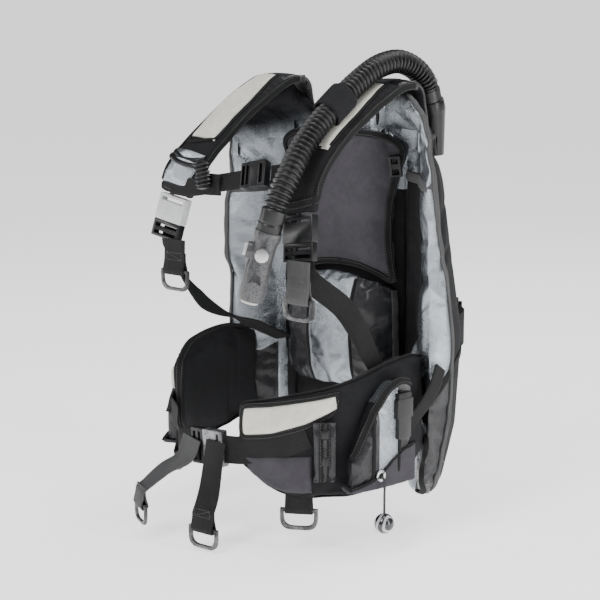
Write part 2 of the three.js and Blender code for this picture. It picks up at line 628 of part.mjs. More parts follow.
for (const [side, s] of Object.entries(SIDES)) {
  const mirrored = (v) => V(s * v.x, v.y, v.z);
  const path = STRAP_PATHS[side].map(([x, y, z]) => at(x, y, z));
  strapCurves[side] = new THREE.CatmullRomCurve3(path, false, "centripetal");
  add(
    `shoulder_strap_${side}`,
    ribbon(path, STRAP_LOOKS, (t) => STRAP_WIDE - 6 * t, STRAP_THICK, 14),
    CREAM_FABRIC,
  );
  // The female half is fixed to the strap's end, and the male half clicks in from below.
  const along = mirrored(SHOULDER_BUCKLE.along);
  const end = path.at(-1);
  const seat = end.clone().addScaledVector(along, WEB * 0.95 + 1.5);
  const buckleFrame = frame(seat, along.clone().negate(), SHOULDER_BUCKLE.look);
  add(`shoulder_buckle_${side}`, placed(buckleFemale(WEB), buckleFrame), BLACK_PLASTIC);
  const male = placed(buckleMale(WEB), buckleFrame);
  add(`shoulder_clip_${side}`, male, BLACK_PLASTIC);
  const low = seat.clone().addScaledVector(along, WEB * 0.62 + GAP);
  // The hip webbing starts behind the clip and runs back to the inside of the waist lobe.
  // The left one ends inside its lobe, and the right one on the front of its air cell.
  const onLobe = side === "left";
  const hipEnd = onLobe ? onWaist(WAIST.left, 7, -(4 * GAP + WEB_THICK / 2), up(-32)) : at(-115, -42.2, -12);
  const hipMid = onLobe ? at(132, -210, 84) : at(-134, -200, 66);
  const hipLow = hipEnd.clone().lerp(hipMid, 0.4);
  const hipLook = onLobe ? V(1, 0, 0) : V(0, -1, 0.1);
  const behind = -(BUCKLE_THICK / 2 - 1 + GAP + WEB_THICK / 2 + 0.1);
  const onClip = (x, z) => V(x, 0, z).applyMatrix4(buckleFrame);
  add(
    `hip_web_${side}`,
    ribbon(
      [onClip(-8, behind), onClip(-24, behind - 0.4), onClip(-42, behind - 6), hipMid, hipLow, hipEnd],
      [SHOULDER_BUCKLE.look, SHOULDER_BUCKLE.look, V(s * 0.3, -0.95, 0.3), V(s * 0.8, -0.7, 0), hipLook, hipLook],
      HIP_WEB,
      WEB_THICK,
      14,
    ),
    WEBBING,
  );
  // A short tail hangs from the clip and carries a ring.
  const tailTop = low.clone().add(V(ringAside[side], -BUCKLE_THICK / 2 - 1.2, 4));
  const place = tailTop.clone().add(V(0, 0, -ringDrop[side] - 4));
  add(`chest_tail_${side}`, placed(ringTab(WEB, ringDrop[side]), standing(place, V(0, -1, 0))), WEBBING);
  hangRing(`chest_ring_${side}`, place, V(0, -1, 0), WEB);
}

// ---------------------------------------------------------------- chest strap
// Each end is sewn to the front of its shoulder strap, the left end higher than the right.
const sewn = STRAP_THICK / 2 + GAP + WEB_THICK / 2 + 0.4;
function sewnTo(side, t, aside) {
  const k = t * (STRAP_LOOKS.length - 1);
  const look = STRAP_LOOKS[Math.floor(k)].clone().lerp(STRAP_LOOKS[Math.floor(k) + 1], k % 1);
  const along = strapCurves[side].getTangent(t);
  look.addScaledVector(along, -look.dot(along)).normalize();
  const face = strapCurves[side].getPoint(t).addScaledVector(look, sewn);
  const edge = face.clone().addScaledVector(look, 1).add(V(-SIDES[side] * (STRAP_WIDE / 2 + 2), 0, 0));
  return { look, edge, place: face.add(V(aside, 0, 0)) };
}
const chestRight = sewnTo("right", 0.93, -4);
const chestLeft = sewnTo("left", 0.77, -12);
const CHEST_LOOK = chestRight.look.clone().lerp(chestLeft.look, 0.5).normalize();
const chestAlong = chestLeft.edge.clone().sub(chestRight.edge);
const chestMiddle = chestRight.edge.clone().lerp(chestLeft.edge, 0.74).addScaledVector(CHEST_LOOK, 0.6 - behindMale);
const chestFrame = frame(chestMiddle, chestAlong, CHEST_LOOK);
const onChest = (x, z = 0) => V(x, 0, z).applyMatrix4(chestFrame);
const chestWeb = (from, end) =>
  ribbon([from, end.edge, end.place], [CHEST_LOOK, end.look, end.look], CHEST_WEB, WEB_THICK, 8);
add("chest_buckle_female", placed(buckleFemale(CHEST_WEB), chestFrame), BLACK_PLASTIC);
add("chest_buckle_male", placed(buckleMale(CHEST_WEB), chestFrame), BLACK_PLASTIC);
add("chest_web_left", chestWeb(onChest(CHEST_WEB * 0.95 + GAP, behindMale - 0.6), chestLeft), WEBBING);
add("chest_web_right", chestWeb(onChest(-6, behindMale - 0.6), chestRight), WEBBING);

// ---------------------------------------------------------------- inflator
const HOSE_DRAWN = 16.5; // the hose radius this path is drawn for
const HOSE_PATH = [
  [106, 12, 346], [105, 4, 368], [103, -16, 388], [100, -52, 402], [98, -96, 398], [96, -140, 379], [94, -184, 353], [92, -226, 323], [93, -260, 293], [95, -288, 262], [92, -306, 230], [84, -310, 198],
];
const drawnPoints = HOSE_PATH.map(([x, y, z]) => at(x, y, z));
const drawnCurve = new THREE.CatmullRomCurve3(drawnPoints, false, "centripetal");
const hosePoints = drawnPoints.map((point, i) => {
  const along = drawnCurve.getTangent(i / (drawnPoints.length - 1));
  return point.clone().addScaledVector(V(0, along.z, -along.y).normalize(), HOSE_RADIUS - HOSE_DRAWN);
});
add("inflator_hose", tube(hosePoints, HOSE_RADIUS, 12, 24), BLACK_RUBBER);

const hoseCurve = new THREE.CatmullRomCurve3(hosePoints, false, "centripetal");

// Elbow that joins the hose to the top of the left air cell, with its dump chamber above the port.
const hoseStart = hoseCurve.getTangent(0);
const nut = [GAP, 16].map((back) => hosePoints[0].clone().addScaledVector(hoseStart, -back));
const elbowFoot = nut[1].clone().add(V(0, 6, -62));
const port = elbowFoot.clone().add(V(0, 0, 30));
const PORT_END = -23.3; // just behind the air cell
add(
  "hose_elbow",
  joined(rod(nut[0], nut[1], 18.5, 14), rod(elbowFoot, nut[1].clone().add(V(0, 1, 3)), 13, 14, 17), rod(port, port.clone().setY(forward(PORT_END)), 11, 12)),
  BLACK_PLASTIC,
);

// Inflator body hanging from the hose, with its hose nipple, mouthpiece and two buttons.
const bodyAlong = hoseCurve.getTangent(1);
const bodyTop = hosePoints.at(-1).clone().addScaledVector(bodyAlong, GAP);
const bodyLong = 94;
const bodyFrame = frame(bodyTop, bodyAlong, V(-0.8, -0.6, 0));
const onBody = (x, y = 0, z = 0) => V(x, y, z).applyMatrix4(bodyFrame);
function inflatorBody() {
  const profile = [[0, 0], [18, 0], [18, 12], [15.5, 16], [15.5, 40], [INFLATOR_RADIUS, 46], [INFLATOR_RADIUS, bodyLong - 4], [15, bodyLong], [0, bodyLong]];
  const shell = new THREE.LatheGeometry(profile.map(([r, h]) => new THREE.Vector2(r, h)), 16).rotateZ(-Math.PI / 2);
  const mouth = rod(V(62, 12, 0), V(70, 34, 0), 7, 10, 9.5);
  const boss = rod(V(30, 0, 8), V(30, 0, 21), BUTTON_RADIUS + 3, 12);
  const well = rod(V(30, 0, 14), V(30, 0, 30), BUTTON_RADIUS + GAP, 12);
  const endWell = rod(V(bodyLong - 7, 0, 0), V(bodyLong + 5, 0, 0), BUTTON_RADIUS + 3 + GAP, 14);
  return placed(cut(joined(shell, mouth, boss), well, endWell), bodyFrame);
}
add("inflator_body", inflatorBody(), GREY_PLASTIC);
add("inflate_button", rod(onBody(30, 0, 14 + 5), onBody(30, 0, 25), BUTTON_RADIUS, 12), BLACK_PLASTIC);
add("deflate_button", rod(onBody(bodyLong - 7 + 6), onBody(bodyLong + 4), BUTTON_RADIUS + 3, 14), CREAM_FABRIC);
const nippleFoot = onBody(26, 15.5 + GAP);
add("hose_nipple", joined(rod(nippleFoot, onBody(26, 30), 6.5), rod(onBody(26, 24), onBody(26, 36), 9)), STEEL);

// Keeper that wraps the hose and rests on the left strap.
function hoseKeeper() {
  const t = 0.55;
  const place = hoseCurve.getPoint(t);
  const along = hoseCurve.getTangent(t);
  const half = 22;
  const inside = HOSE_RADIUS + 1.5;
  const [a, b] = [place.clone().addScaledVector(along, -half), place.clone().addScaledVector(along, half)];
  const [c, d] = [place.clone().addScaledVector(along, -2 * half), place.clone().addScaledVector(along, 2 * half)];
  return cut(rod(a, b, inside + KEEPER_WALL, 14), rod(c, d, inside, 14));
}
add("hose_keeper", hoseKeeper(), BLACK_NYLON);

// ---------------------------------------------------------------- dump valve and its pull
// The valve sits in the foot of the left pouch pocket, and its cord hangs from the pocket's face.
const PULL_STATION = 12.4;
const pullOut = onWaist(WAIST.left, PULL_STATION, 1, 0).sub(onWaist(WAIST.left, PULL_STATION, 0, 0)).normalize();
const PULL_TOP = up(-132);
const wallOut = pouchOut + GAP + FLAP_THICK;
const grommetAt = onWaist(WAIST.left, PULL_STATION, wallOut + GAP, PULL_TOP);
const fromGrommet = (out, down) => grommetAt.clone().addScaledVector(pullOut, out).addScaledVector(DOWN, down);
const GROMMET_HOLE = 4;
const rest = GROMMET_HOLE - CORD_RADIUS - 1.5 * GAP; // the cord lies on the lower edge of the hole
const knobAt = fromGrommet(8, 64);
add(
  "pull_cord",
  tube([fromGrommet(0.8, rest), fromGrommet(4.5, rest + 0.3), fromGrommet(8, 8), fromGrommet(8, 24), knobAt.clone().add(V(0, 0, KNOB_RADIUS + GAP))], CORD_RADIUS, 8, 14),
  BLACK_NYLON,
);
add("pull_knob", new THREE.SphereGeometry(KNOB_RADIUS, 14, 10).rotateX(Math.PI / 2).translate(...knobAt.toArray()), BLACK_PLASTIC);
add("cord_grommet", cut(rod(grommetAt, fromGrommet(2, 0), 8, 14), rod(fromGrommet(-3, 0), fromGrommet(5, 0), GROMMET_HOLE, 10)), STEEL);

// Rear dump valve low on the right air cell.
const valveAt = at(-120, 32.9, 10);
add("rear_dump_valve", joined(rod(valveAt.clone().add(V(0, 3.4, 0)), valveAt.clone().add(V(0, 9, 0)), 30, 20), rod(valveAt.clone().add(V(0, 8, 0)), valveAt.clone().add(V(0, 20, 0)), 24, 20, 20)), BLACK_PLASTIC);

export default group;
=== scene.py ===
"""Looks of the buoyancy compensator vest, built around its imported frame.

Metres, +Z up. The wearer faces -Y.
"""
import json
import math

import bmesh
import bpy
import numpy as np
from mathutils import Matrix, Vector
from mathutils.bvhtree import BVHTree


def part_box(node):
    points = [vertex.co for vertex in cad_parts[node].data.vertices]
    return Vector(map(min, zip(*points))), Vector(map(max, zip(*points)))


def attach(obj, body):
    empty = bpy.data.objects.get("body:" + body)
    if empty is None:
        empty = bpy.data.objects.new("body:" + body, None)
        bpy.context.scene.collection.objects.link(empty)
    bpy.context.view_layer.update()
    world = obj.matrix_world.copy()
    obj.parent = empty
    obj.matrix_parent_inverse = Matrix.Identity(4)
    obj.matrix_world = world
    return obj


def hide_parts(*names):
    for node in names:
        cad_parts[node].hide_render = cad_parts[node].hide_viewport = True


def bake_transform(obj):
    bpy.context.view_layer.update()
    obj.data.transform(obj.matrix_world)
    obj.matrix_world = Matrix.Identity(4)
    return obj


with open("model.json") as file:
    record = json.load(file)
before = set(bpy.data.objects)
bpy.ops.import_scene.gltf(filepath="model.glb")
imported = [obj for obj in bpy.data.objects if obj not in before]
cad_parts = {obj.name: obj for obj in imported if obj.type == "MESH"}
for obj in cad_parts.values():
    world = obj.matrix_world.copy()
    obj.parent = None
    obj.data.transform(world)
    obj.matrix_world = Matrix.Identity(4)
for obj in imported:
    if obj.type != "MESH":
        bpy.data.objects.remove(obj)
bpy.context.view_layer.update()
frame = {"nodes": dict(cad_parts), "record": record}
nodes = frame["nodes"]
node_body = {}
for body_name, names in frame["record"]["behaviour"]["bodies"].items():
    for node_name in names:
        node_body[node_name] = body_name
SIDES = {"left": 1, "right": -1}
scene = bpy.context.scene


def mm(*rows):
    """Points given in millimetres, as an array in metres."""
    return np.array(rows, float).reshape(-1, 3) / 1000


def point(x, y, z):
    """One point given in millimetres, in metres."""
    return mm((x, y, z))[0]


# ---------------------------------------------------------------- camera, stage and light
AZIMUTH, ELEVATION, DISTANCE = math.radians(39.4), math.radians(10.9), 2.6
TARGET = Vector((-0.040, -0.096, 0.061))
back = Vector(
    (math.sin(AZIMUTH) * math.cos(ELEVATION), -math.cos(AZIMUTH) * math.cos(ELEVATION), math.sin(ELEVATION))
)
camera = bpy.data.objects.new("camera", bpy.data.cameras.new("camera"))
scene.collection.objects.link(camera)
camera.location = TARGET + back * DISTANCE
camera.rotation_euler = (-back).to_track_quat("-Z", "Y").to_euler()
camera.data.lens = 109.4
scene.camera = camera


# ---------------------------------------------------------------- curves
def spline(points, count):
    """A centripetal Catmull-Rom curve through the points. Returns evenly spaced places and their tangents."""
    p = np.asarray(points, float)
    p = np.vstack([2 * p[0] - p[1], p, 2 * p[-1] - p[-2]])
    knots = np.concatenate([[0], np.cumsum(np.sqrt(np.linalg.norm(np.diff(p, axis=0), axis=1)) + 1e-9)])
    fine = []
    steps = np.linspace(0, 1, 40, endpoint=False)
    for i in range(1, len(p) - 2):
        t0, t1, t2, t3 = knots[i - 1 : i + 3]
        t = (t1 + steps * (t2 - t1))[:, None]
        a1 = (t1 - t) / (t1 - t0) * p[i - 1] + (t - t0) / (t1 - t0) * p[i]
        a2 = (t2 - t) / (t2 - t1) * p[i] + (t - t1) / (t2 - t1) * p[i + 1]
        a3 = (t3 - t) / (t3 - t2) * p[i + 1] + (t - t2) / (t3 - t2) * p[i + 2]
        b1 = (t2 - t) / (t2 - t0) * a1 + (t - t0) / (t2 - t0) * a2
        b2 = (t3 - t) / (t3 - t1) * a2 + (t - t1) / (t3 - t1) * a3
        fine.append((t2 - t) / (t2 - t1) * b1 + (t - t1) / (t2 - t1) * b2)
    fine = np.vstack(fine + [p[-2][None]])
    along = np.concatenate([[0], np.cumsum(np.linalg.norm(np.diff(fine, axis=0), axis=1))])
    where = np.interp(np.linspace(0, along[-1], count), along, np.arange(len(fine)))
    low = np.minimum(where.astype(int), len(fine) - 2)
    rest = (where - low)[:, None]
    places = fine[low] * (1 - rest) + fine[low + 1] * rest
    return places, tangents(places)


def tangents(places, closed=False):
    """Unit directions along a line of places."""
    if closed:
        t = np.roll(places, -1, axis=0) - np.roll(places, 1, axis=0)
    else:
        t = np.gradient(places, axis=0)
    return unit(t)


def unit(v):
    v = np.asarray(v, float)
    return v / np.maximum(np.linalg.norm(v, axis=-1, keepdims=True), 1e-12)


def length_of(places):
    return float(np.linalg.norm(np.diff(places, axis=0), axis=1).sum())


def blended(values, count):
    """Values for each control point, spread evenly over count points."""
    v = np.asarray(values, float)
    k = np.linspace(0, len(v) - 1, count)
    low = np.minimum(k.astype(int), len(v) - 2)
    rest = (k - low)[:, None]
    return v[low] * (1 - rest) + v[low + 1] * rest


# ---------------------------------------------------------------- meshes
def new_object(name, verts, faces, uvs=None):
    mesh = bpy.data.meshes.new(name)
    mesh.from_pydata([tuple(v) for v in verts], [], [tuple(int(i) for i in f) for f in faces])
    if uvs is not None:
        layer = mesh.uv_layers.new(name="UVMap")
        layer.data.foreach_set("uv", np.asarray([uv for face in uvs for uv in face], np.float32).ravel())
    mesh.update()
    obj = bpy.data.objects.new(name, mesh)
    scene.collection.objects.link(obj)
    return obj


def loft(name, rings, closed=False):
    """A skin over rings of points, its UV map in metres: across the section, and along."""
    rings = np.asarray(rings, float)
    count, n = rings.shape[:2]
    round_ring = np.linalg.norm(np.roll(rings, -1, axis=1) - rings, axis=2).mean(axis=0)
    u = np.concatenate([[0], np.cumsum(round_ring)])
    centres = rings.mean(axis=1)
    steps = np.linalg.norm(np.roll(centres, -1, axis=0) - centres, axis=1)
    v = np.concatenate([[0], np.cumsum(steps)])
    faces, uvs = [], []
    for r in range(count if closed else count - 1):
        s = (r + 1) % count
        for i in range(n):
            j = (i + 1) % n
            faces.append((r * n + i, r * n + j, s * n + j, s * n + i))
            uvs.append(((u[i], v[r]), (u[i + 1], v[r]), (u[i + 1], v[r + 1]), (u[i], v[r + 1])))
    if not closed:
        for r, turn in ((0, -1), (count - 1, 1)):
            order = list(range(n))[::turn]
            faces.append([r * n + i for i in order])
            uvs.append([(u[i], v[r]) for i in order])
    obj = new_object(name, rings.reshape(-1, 3), faces, uvs)
    outward(obj)
    return obj


def outward(obj):
    """Turns every face of a closed mesh outwards."""
    bm = bmesh.new()
    bm.from_mesh(obj.data)
    bmesh.ops.recalc_face_normals(bm, faces=bm.faces)
    bm.to_mesh(obj.data)
    bm.free()


def smooth(obj, angle=None):
    """Shades a piece smooth, with sharp edges past the angle in degrees where one is given."""
    if angle is None:
        obj.data.shade_smooth()
        return obj
    bpy.ops.object.select_all(action="DESELECT")
    obj.select_set(True)
    bpy.context.view_layer.objects.active = obj
    bpy.ops.object.shade_smooth_by_angle(angle=math.radians(angle))
    return obj


def apply_all(obj):
    """Applies an object's modifiers to its mesh."""
    bpy.ops.object.select_all(action="DESELECT")
    obj.select_set(True)
    bpy.context.view_layer.objects.active = obj
    for modifier in list(obj.modifiers):
        bpy.ops.object.modifier_apply(modifier=modifier.name)
    return obj


def placed(obj, material, body, replaces=()):
    """Gives a finished piece its material, its body and the CAD nodes that it stands for."""
    obj.data.materials.append(material)
    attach(obj, body)
    if replaces:
        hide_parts(*replaces)
    return obj


def coords(obj):
    """The places of a mesh's points, as an array."""
    out = np.empty(len(obj.data.vertices) * 3, np.float32)
    obj.data.vertices.foreach_get("co", out)
    return out.reshape(-1, 3).astype(float)


def set_coords(obj, co):
    obj.data.vertices.foreach_set("co", co.astype(np.float32).ravel())
    obj.data.update()


def tree_of(*objs):
    """One search tree over the given meshes."""
    verts, faces = [], []
    for obj in objs:
        start = len(verts)
        verts += [v.co.copy() for v in obj.data.vertices]
        faces += [[start + i for i in p.vertices] for p in obj.data.polygons]
    return BVHTree.FromPolygons(verts, faces)


def snapped(points, tree, lift):
    """Points moved to the nearest surface, and out from it by lift. Returns places and normals."""
    places, normals = [], []
    for p in points:
        co, normal, _, _ = tree.find_nearest(Vector(p))
        places.append(np.array(co))
        normals.append(np.array(normal))
    places, normals = np.array(places), np.array(normals)
    for _ in range(2):
        normals[1:-1] = unit(normals[:-2] + 2 * normals[1:-1] + normals[2:])
        places[1:-1] = (places[:-2] + 2 * places[1:-1] + places[2:]) / 4
    return places + normals * lift, normals


def band_section(width, thick, corner=0.35, swell=0.0):
    """A flat section with round edges, as (side, out) pairs. Swell bows its face out."""
    w, t = width / 2, thick / 2
    c = min(t, w) * (1 - corner)
    ring = [(-w, -c), (-w + t - c, -t), (0, -t), (w - t + c, -t), (w, -c), (w, c), (w - t + c, t)]
    ring += [
        (w * 0.5, t + swell * 0.75), (0, t + swell), (-w * 0.5, t + swell * 0.75), (-w + t - c, t), (-w, c)
    ]
    return np.array(ring)


def strip(name, places, normals, width, thick, swell=0.0, closed=False):
    """A flat strip along places, its faces along the normals."""
    along = tangents(places, closed)
    normals = unit(normals - along * (normals * along).sum(1, keepdims=True))
    side = np.cross(along, normals)
    rings = []
    for i, place in enumerate(places):
        section = band_section(width, thick, swell=swell)
        rings.append(place + section[:, :1] * side[i] + section[:, 1:] * normals[i])
    return smooth(loft(name, rings, closed), 50)


def tape(
    name, points, on, width, thick, material, body="vest", lift=None, closed=False, swell=0.0004, edge=None
):
    """Binding or piping that lies on a soft piece, with a row of stitches where edge says how far in."""
    points = np.asarray(points, float)
    if closed:
        points = np.vstack([points, points[:1]])
    count = max(6, int(length_of(points) / 0.005))
    places, _ = spline(points, count)
    if closed:
        places = places[:-1]
    places, normals = snapped(places, on, thick * 0.3 if lift is None else lift)
    obj = strip(name, places, normals, width, thick, swell, closed)
    placed(obj, material, body)
    if edge is not None:
        along = tangents(places, closed)
        side = unit(np.cross(along, normals))
        rows = [places + side * k * (width / 2 - edge) + normals * (thick / 2 + swell * 0.6) for k in (-1, 1)]
        for row, k in zip(rows, "ab"):
            placed(stitch_row(f"{name}_stitches_{k}", row, normals), MAT["thread"], body)
    return obj


def stitch_row(name, places, normals, pitch=0.0042, long=0.0028, wide=0.0007):
    """Thread along places: short rods with pinched ends."""
    dist = np.concatenate([[0], np.cumsum(np.linalg.norm(np.diff(places, axis=0), axis=1))])
    starts = np.arange(pitch / 2, dist[-1] - pitch / 2, pitch)
    verts, faces = [], []
    for s in starts:
        a, b = [
            np.array([np.interp(s + k * long / 2, dist, places[:, c]) for c in range(3)]) for k in (-1, 1)
        ]
        n = unit(np.array([np.interp(s, dist, normals[:, c]) for c in range(3)]))
        side = unit(np.cross(b - a, n)) * wide / 2
        rise = n * wide * 0.55
        base = len(verts)
        for place, k in ((a, 0.35), (a * 0.5 + b * 0.5, 1.0), (b, 0.35)):
            verts += [place - side * k, place + rise * k, place + side * k, place - rise * 0.3]
        for r in (0, 4):
            for i in range(4):
                j = (i + 1) % 4
                faces.append((base + r + i, base + r + j, base + r + 4 + j, base + r + 4 + i))
        faces += [(base + 3, base + 2, base + 1, base), (base + 8, base + 9, base + 10, base + 11)]
    obj = new_object(name, verts, faces)
    outward(obj)
    return smooth(obj)


def patch(name, low, high, on, material, lift=0.0006, crown=0.002, thick=0.0016, nu=40, nv=14, body="vest"):
    """A sewn panel between two edge lines, laid on a soft piece and slightly domed."""
    a, _ = spline(low, nu)
    b, _ = spline(high, nu)
    front, rear = [], []
    for j in range(nv):
        v = j / (nv - 1)
        row, normals = snapped(a * (1 - v) + b * v, on, 0)
        u = np.linspace(0, 1, nu)
        dome = crown * (1 - (2 * u - 1) ** 8) * (1 - (2 * v - 1) ** 6)
        front.append(row + normals * (lift + thick * (0.4 + 0.6 * (dome[:, None] > 0)) + dome[:, None]))
        rear.append(row + normals * (lift - 0.0012))
    front, rear = np.array(front), np.array(rear)
    n = nu * nv
    verts = np.vstack([front.reshape(-1, 3), rear.reshape(-1, 3)])
    faces, uvs = [], []
    du, dv = length_of(a) / (nu - 1), np.linalg.norm(b - a, axis=1).mean() / (nv - 1)
    for j in range(nv - 1):
        for i in range(nu - 1):
            k = j * nu + i
            uv = [(i * du, j * dv), (i * du + du, j * dv), (i * du + du, j * dv + dv), (i * du, j * dv + dv)]
            faces.append((k, k + 1, k + nu + 1, k + nu))
            faces.append((n + k + nu, n + k + nu + 1, n + k + 1, n + k))
            uvs += [uv, uv[::-1]]
    rim = list(range(nu)) + [j * nu + nu - 1 for j in range(1, nv)]
    rim += [(nv - 1) * nu + i for i in range(nu - 2, -1, -1)] + [j * nu for j in range(nv - 2, 0, -1)]
    for i, k in enumerate(rim):
        m = rim[(i + 1) % len(rim)]
        faces.append((m, k, n + k, n + m))
        uvs.append([(0, 0), (du, 0), (du, dv), (0, dv)])
    obj = new_object(name, verts, faces, uvs)
    outward(obj)
    smooth(obj)
    return placed(obj, material, body)


# ---------------------------------------------------------------- material effects
def effect(name, inputs, outputs, build):
    """A shader node group with named inputs and outputs."""
    tree = bpy.data.node_groups.new(name, "ShaderNodeTree")
    for label, kind, value in inputs:
        socket = tree.interface.new_socket(label, in_out="INPUT", socket_type=kind)
        if value is not None:
            socket.default_value = value
    for label in outputs:
        tree.interface.new_socket(label, in_out="OUTPUT", socket_type="NodeSocketFloat")
    build(tree, tree.nodes.new("NodeGroupInput"), tree.nodes.new("NodeGroupOutput"))
    return tree


def calc(tree, operation, *values):
    """One step of arithmetic on numbers or sockets."""
    node = tree.nodes.new("ShaderNodeMath")
    node.operation = operation
    for i, value in enumerate(values):
        if isinstance(value, (int, float)):
            node.inputs[i].default_value = value
        else:
            tree.links.new(value, node.inputs[i])
    return node.outputs[0]


def noise(tree, vector, scale, detail=3.0, rough=0.5, distortion=0.0, kind="FBM"):
    node = tree.nodes.new("ShaderNodeTexNoise")
    node.noise_type = kind
    tree.links.new(vector, node.inputs["Vector"])
    if isinstance(scale, (int, float)):
        node.inputs["Scale"].default_value = scale
    else:
        tree.links.new(scale, node.inputs["Scale"])
    node.inputs["Detail"].default_value = detail
    node.inputs["Roughness"].default_value = rough
    node.inputs["Distortion"].default_value = distortion
    return node.outputs[0]


def axes(tree, vector):
    node = tree.nodes.new("ShaderNodeSeparateXYZ")
    tree.links.new(vector, node.inputs[0])
    return node.outputs


VECTOR = ("Vector", "NodeSocketVector", None)


def build_herringbone(tree, given, result):
    """Diagonal ribs that turn at each column, on a UV map in metres."""
    u, v, _ = axes(tree, given.outputs["Vector"])
    fold = calc(tree, "PINGPONG", u, given.outputs["Column"])
    turns = calc(tree, "DIVIDE", calc(tree, "ADD", v, fold), given.outputs["Pitch"])
    wave = calc(tree, "SINE", calc(tree, "MULTIPLY", turns, 2 * math.pi))
    rib = calc(tree, "MULTIPLY_ADD", wave, 0.5, 0.5)
    tree.links.new(rib, result.inputs["Height"])
    valley = calc(tree, "DIVIDE", fold, given.outputs["Column"])
    edge = calc(tree, "SMOOTH_MIN", calc(tree, "SUBTRACT", 1.0, valley), valley, 0.2)
    tree.links.new(
        calc(tree, "MULTIPLY_ADD", edge, 0.5, calc(tree, "MULTIPLY", rib, 0.7)), result.inputs["Shade"]
    )


def build_weave(tree, given, result):
    """Crossed threads on upright cloth, from object coordinates."""
    x, y, z = axes(tree, given.outputs["Vector"])
    turn = calc(tree, "DIVIDE", 2 * math.pi, given.outputs["Pitch"])
    across = calc(tree, "SINE", calc(tree, "MULTIPLY", calc(tree, "ADD", x, y), turn))
    upward = calc(tree, "SINE", calc(tree, "MULTIPLY", z, turn))
    cross = calc(tree, "MULTIPLY", across, upward)
    fuzz = noise(tree, given.outputs["Vector"], 900.0, 2.0)
    tree.links.new(
        calc(tree, "ADD", calc(tree, "MULTIPLY_ADD", cross, 0.35, 0.4), calc(tree, "MULTIPLY", fuzz, 0.4)),
        result.inputs["Height"],
    )


def build_crumple(tree, given, result):
    """Soft creases of coated cloth: wide folds and sharper small ones."""
    wide = noise(tree, given.outputs["Vector"], given.outputs["Scale"], 0.3, 0.4, 0.5)
    sharp = noise(
        tree, given.outputs["Vector"], calc(tree, "MULTIPLY", given.outputs["Scale"], 2.7), 2.0, 0.5, 0.5,
        "RIDGED_MULTIFRACTAL",
    )
    tree.links.new(
        calc(tree, "ADD", wide, calc(tree, "MULTIPLY", sharp, given.outputs["Sharp"])),
        result.inputs["Height"],
    )


def build_wear(tree, given, result):
    """Patches where a surface is rubbed, dusty or faded."""
    big = noise(tree, given.outputs["Vector"], given.outputs["Scale"], 4.0, 0.6, 0.4)
    fine = noise(tree, given.outputs["Vector"], calc(tree, "MULTIPLY", given.outputs["Scale"], 9.0), 3.0, 0.6)
    mixed = calc(tree, "MULTIPLY_ADD", fine, 0.35, calc(tree, "MULTIPLY", big, 0.75))
    node = tree.nodes.new("ShaderNodeMapRange")
    node.interpolation_type = "SMOOTHSTEP"
    tree.links.new(mixed, node.inputs["Value"])
    node.inputs["From Min"].default_value = 0.42
    node.inputs["From Max"].default_value = 0.68
    tree.links.new(calc(tree, "MULTIPLY", node.outputs[0], given.outputs["Amount"]), result.inputs["Fac"])


def build_grain(tree, given, result):
    """Fine texture of moulded plastic or rubber."""
    cells = tree.nodes.new("ShaderNodeTexVoronoi")
    tree.links.new(given.outputs["Vector"], cells.inputs["Vector"])
    tree.links.new(given.outputs["Scale"], cells.inputs["Scale"])
    fine = noise(tree, given.outputs["Vector"], given.outputs["Scale"], 2.0)
    tree.links.new(
        calc(tree, "MULTIPLY_ADD", cells.outputs["Distance"], 0.6, calc(tree, "MULTIPLY", fine, 0.4)),
        result.inputs["Height"],
    )


def build_ribs(tree, given, result):
    """Cross ribs of woven tape, along the V of a UV map in metres."""
    _, v, _ = axes(tree, given.outputs["Vector"])
    wave = calc(
        tree, "SINE", calc(tree, "DIVIDE", calc(tree, "MULTIPLY", v, 2 * math.pi), given.outputs["Pitch"])
    )
    tree.links.new(calc(tree, "MULTIPLY_ADD", wave, 0.5, 0.5), result.inputs["Height"])


FLOAT = "NodeSocketFloat"
EFFECTS = {
    "herringbone": effect(
        "herringbone", [VECTOR, ("Pitch", FLOAT, 0.0022), ("Column", FLOAT, 0.0055)], ["Height", "Shade"],
        build_herringbone,
    ),
    "weave": effect("weave", [VECTOR, ("Pitch", FLOAT, 0.0016)], ["Height"], build_weave),
    "crumple": effect(
        "crumple", [VECTOR, ("Scale", FLOAT, 14.0), ("Sharp", FLOAT, 0.25)], ["Height"], build_crumple
    ),
    "wear": effect("wear", [VECTOR, ("Scale", FLOAT, 18.0), ("Amount", FLOAT, 1.0)], ["Fac"], build_wear),
    "grain": effect("grain", [VECTOR, ("Scale", FLOAT, 1400.0)], ["Height"], build_grain),
    "ribs": effect("ribs", [VECTOR, ("Pitch", FLOAT, 0.0016)], ["Height"], build_ribs),
}


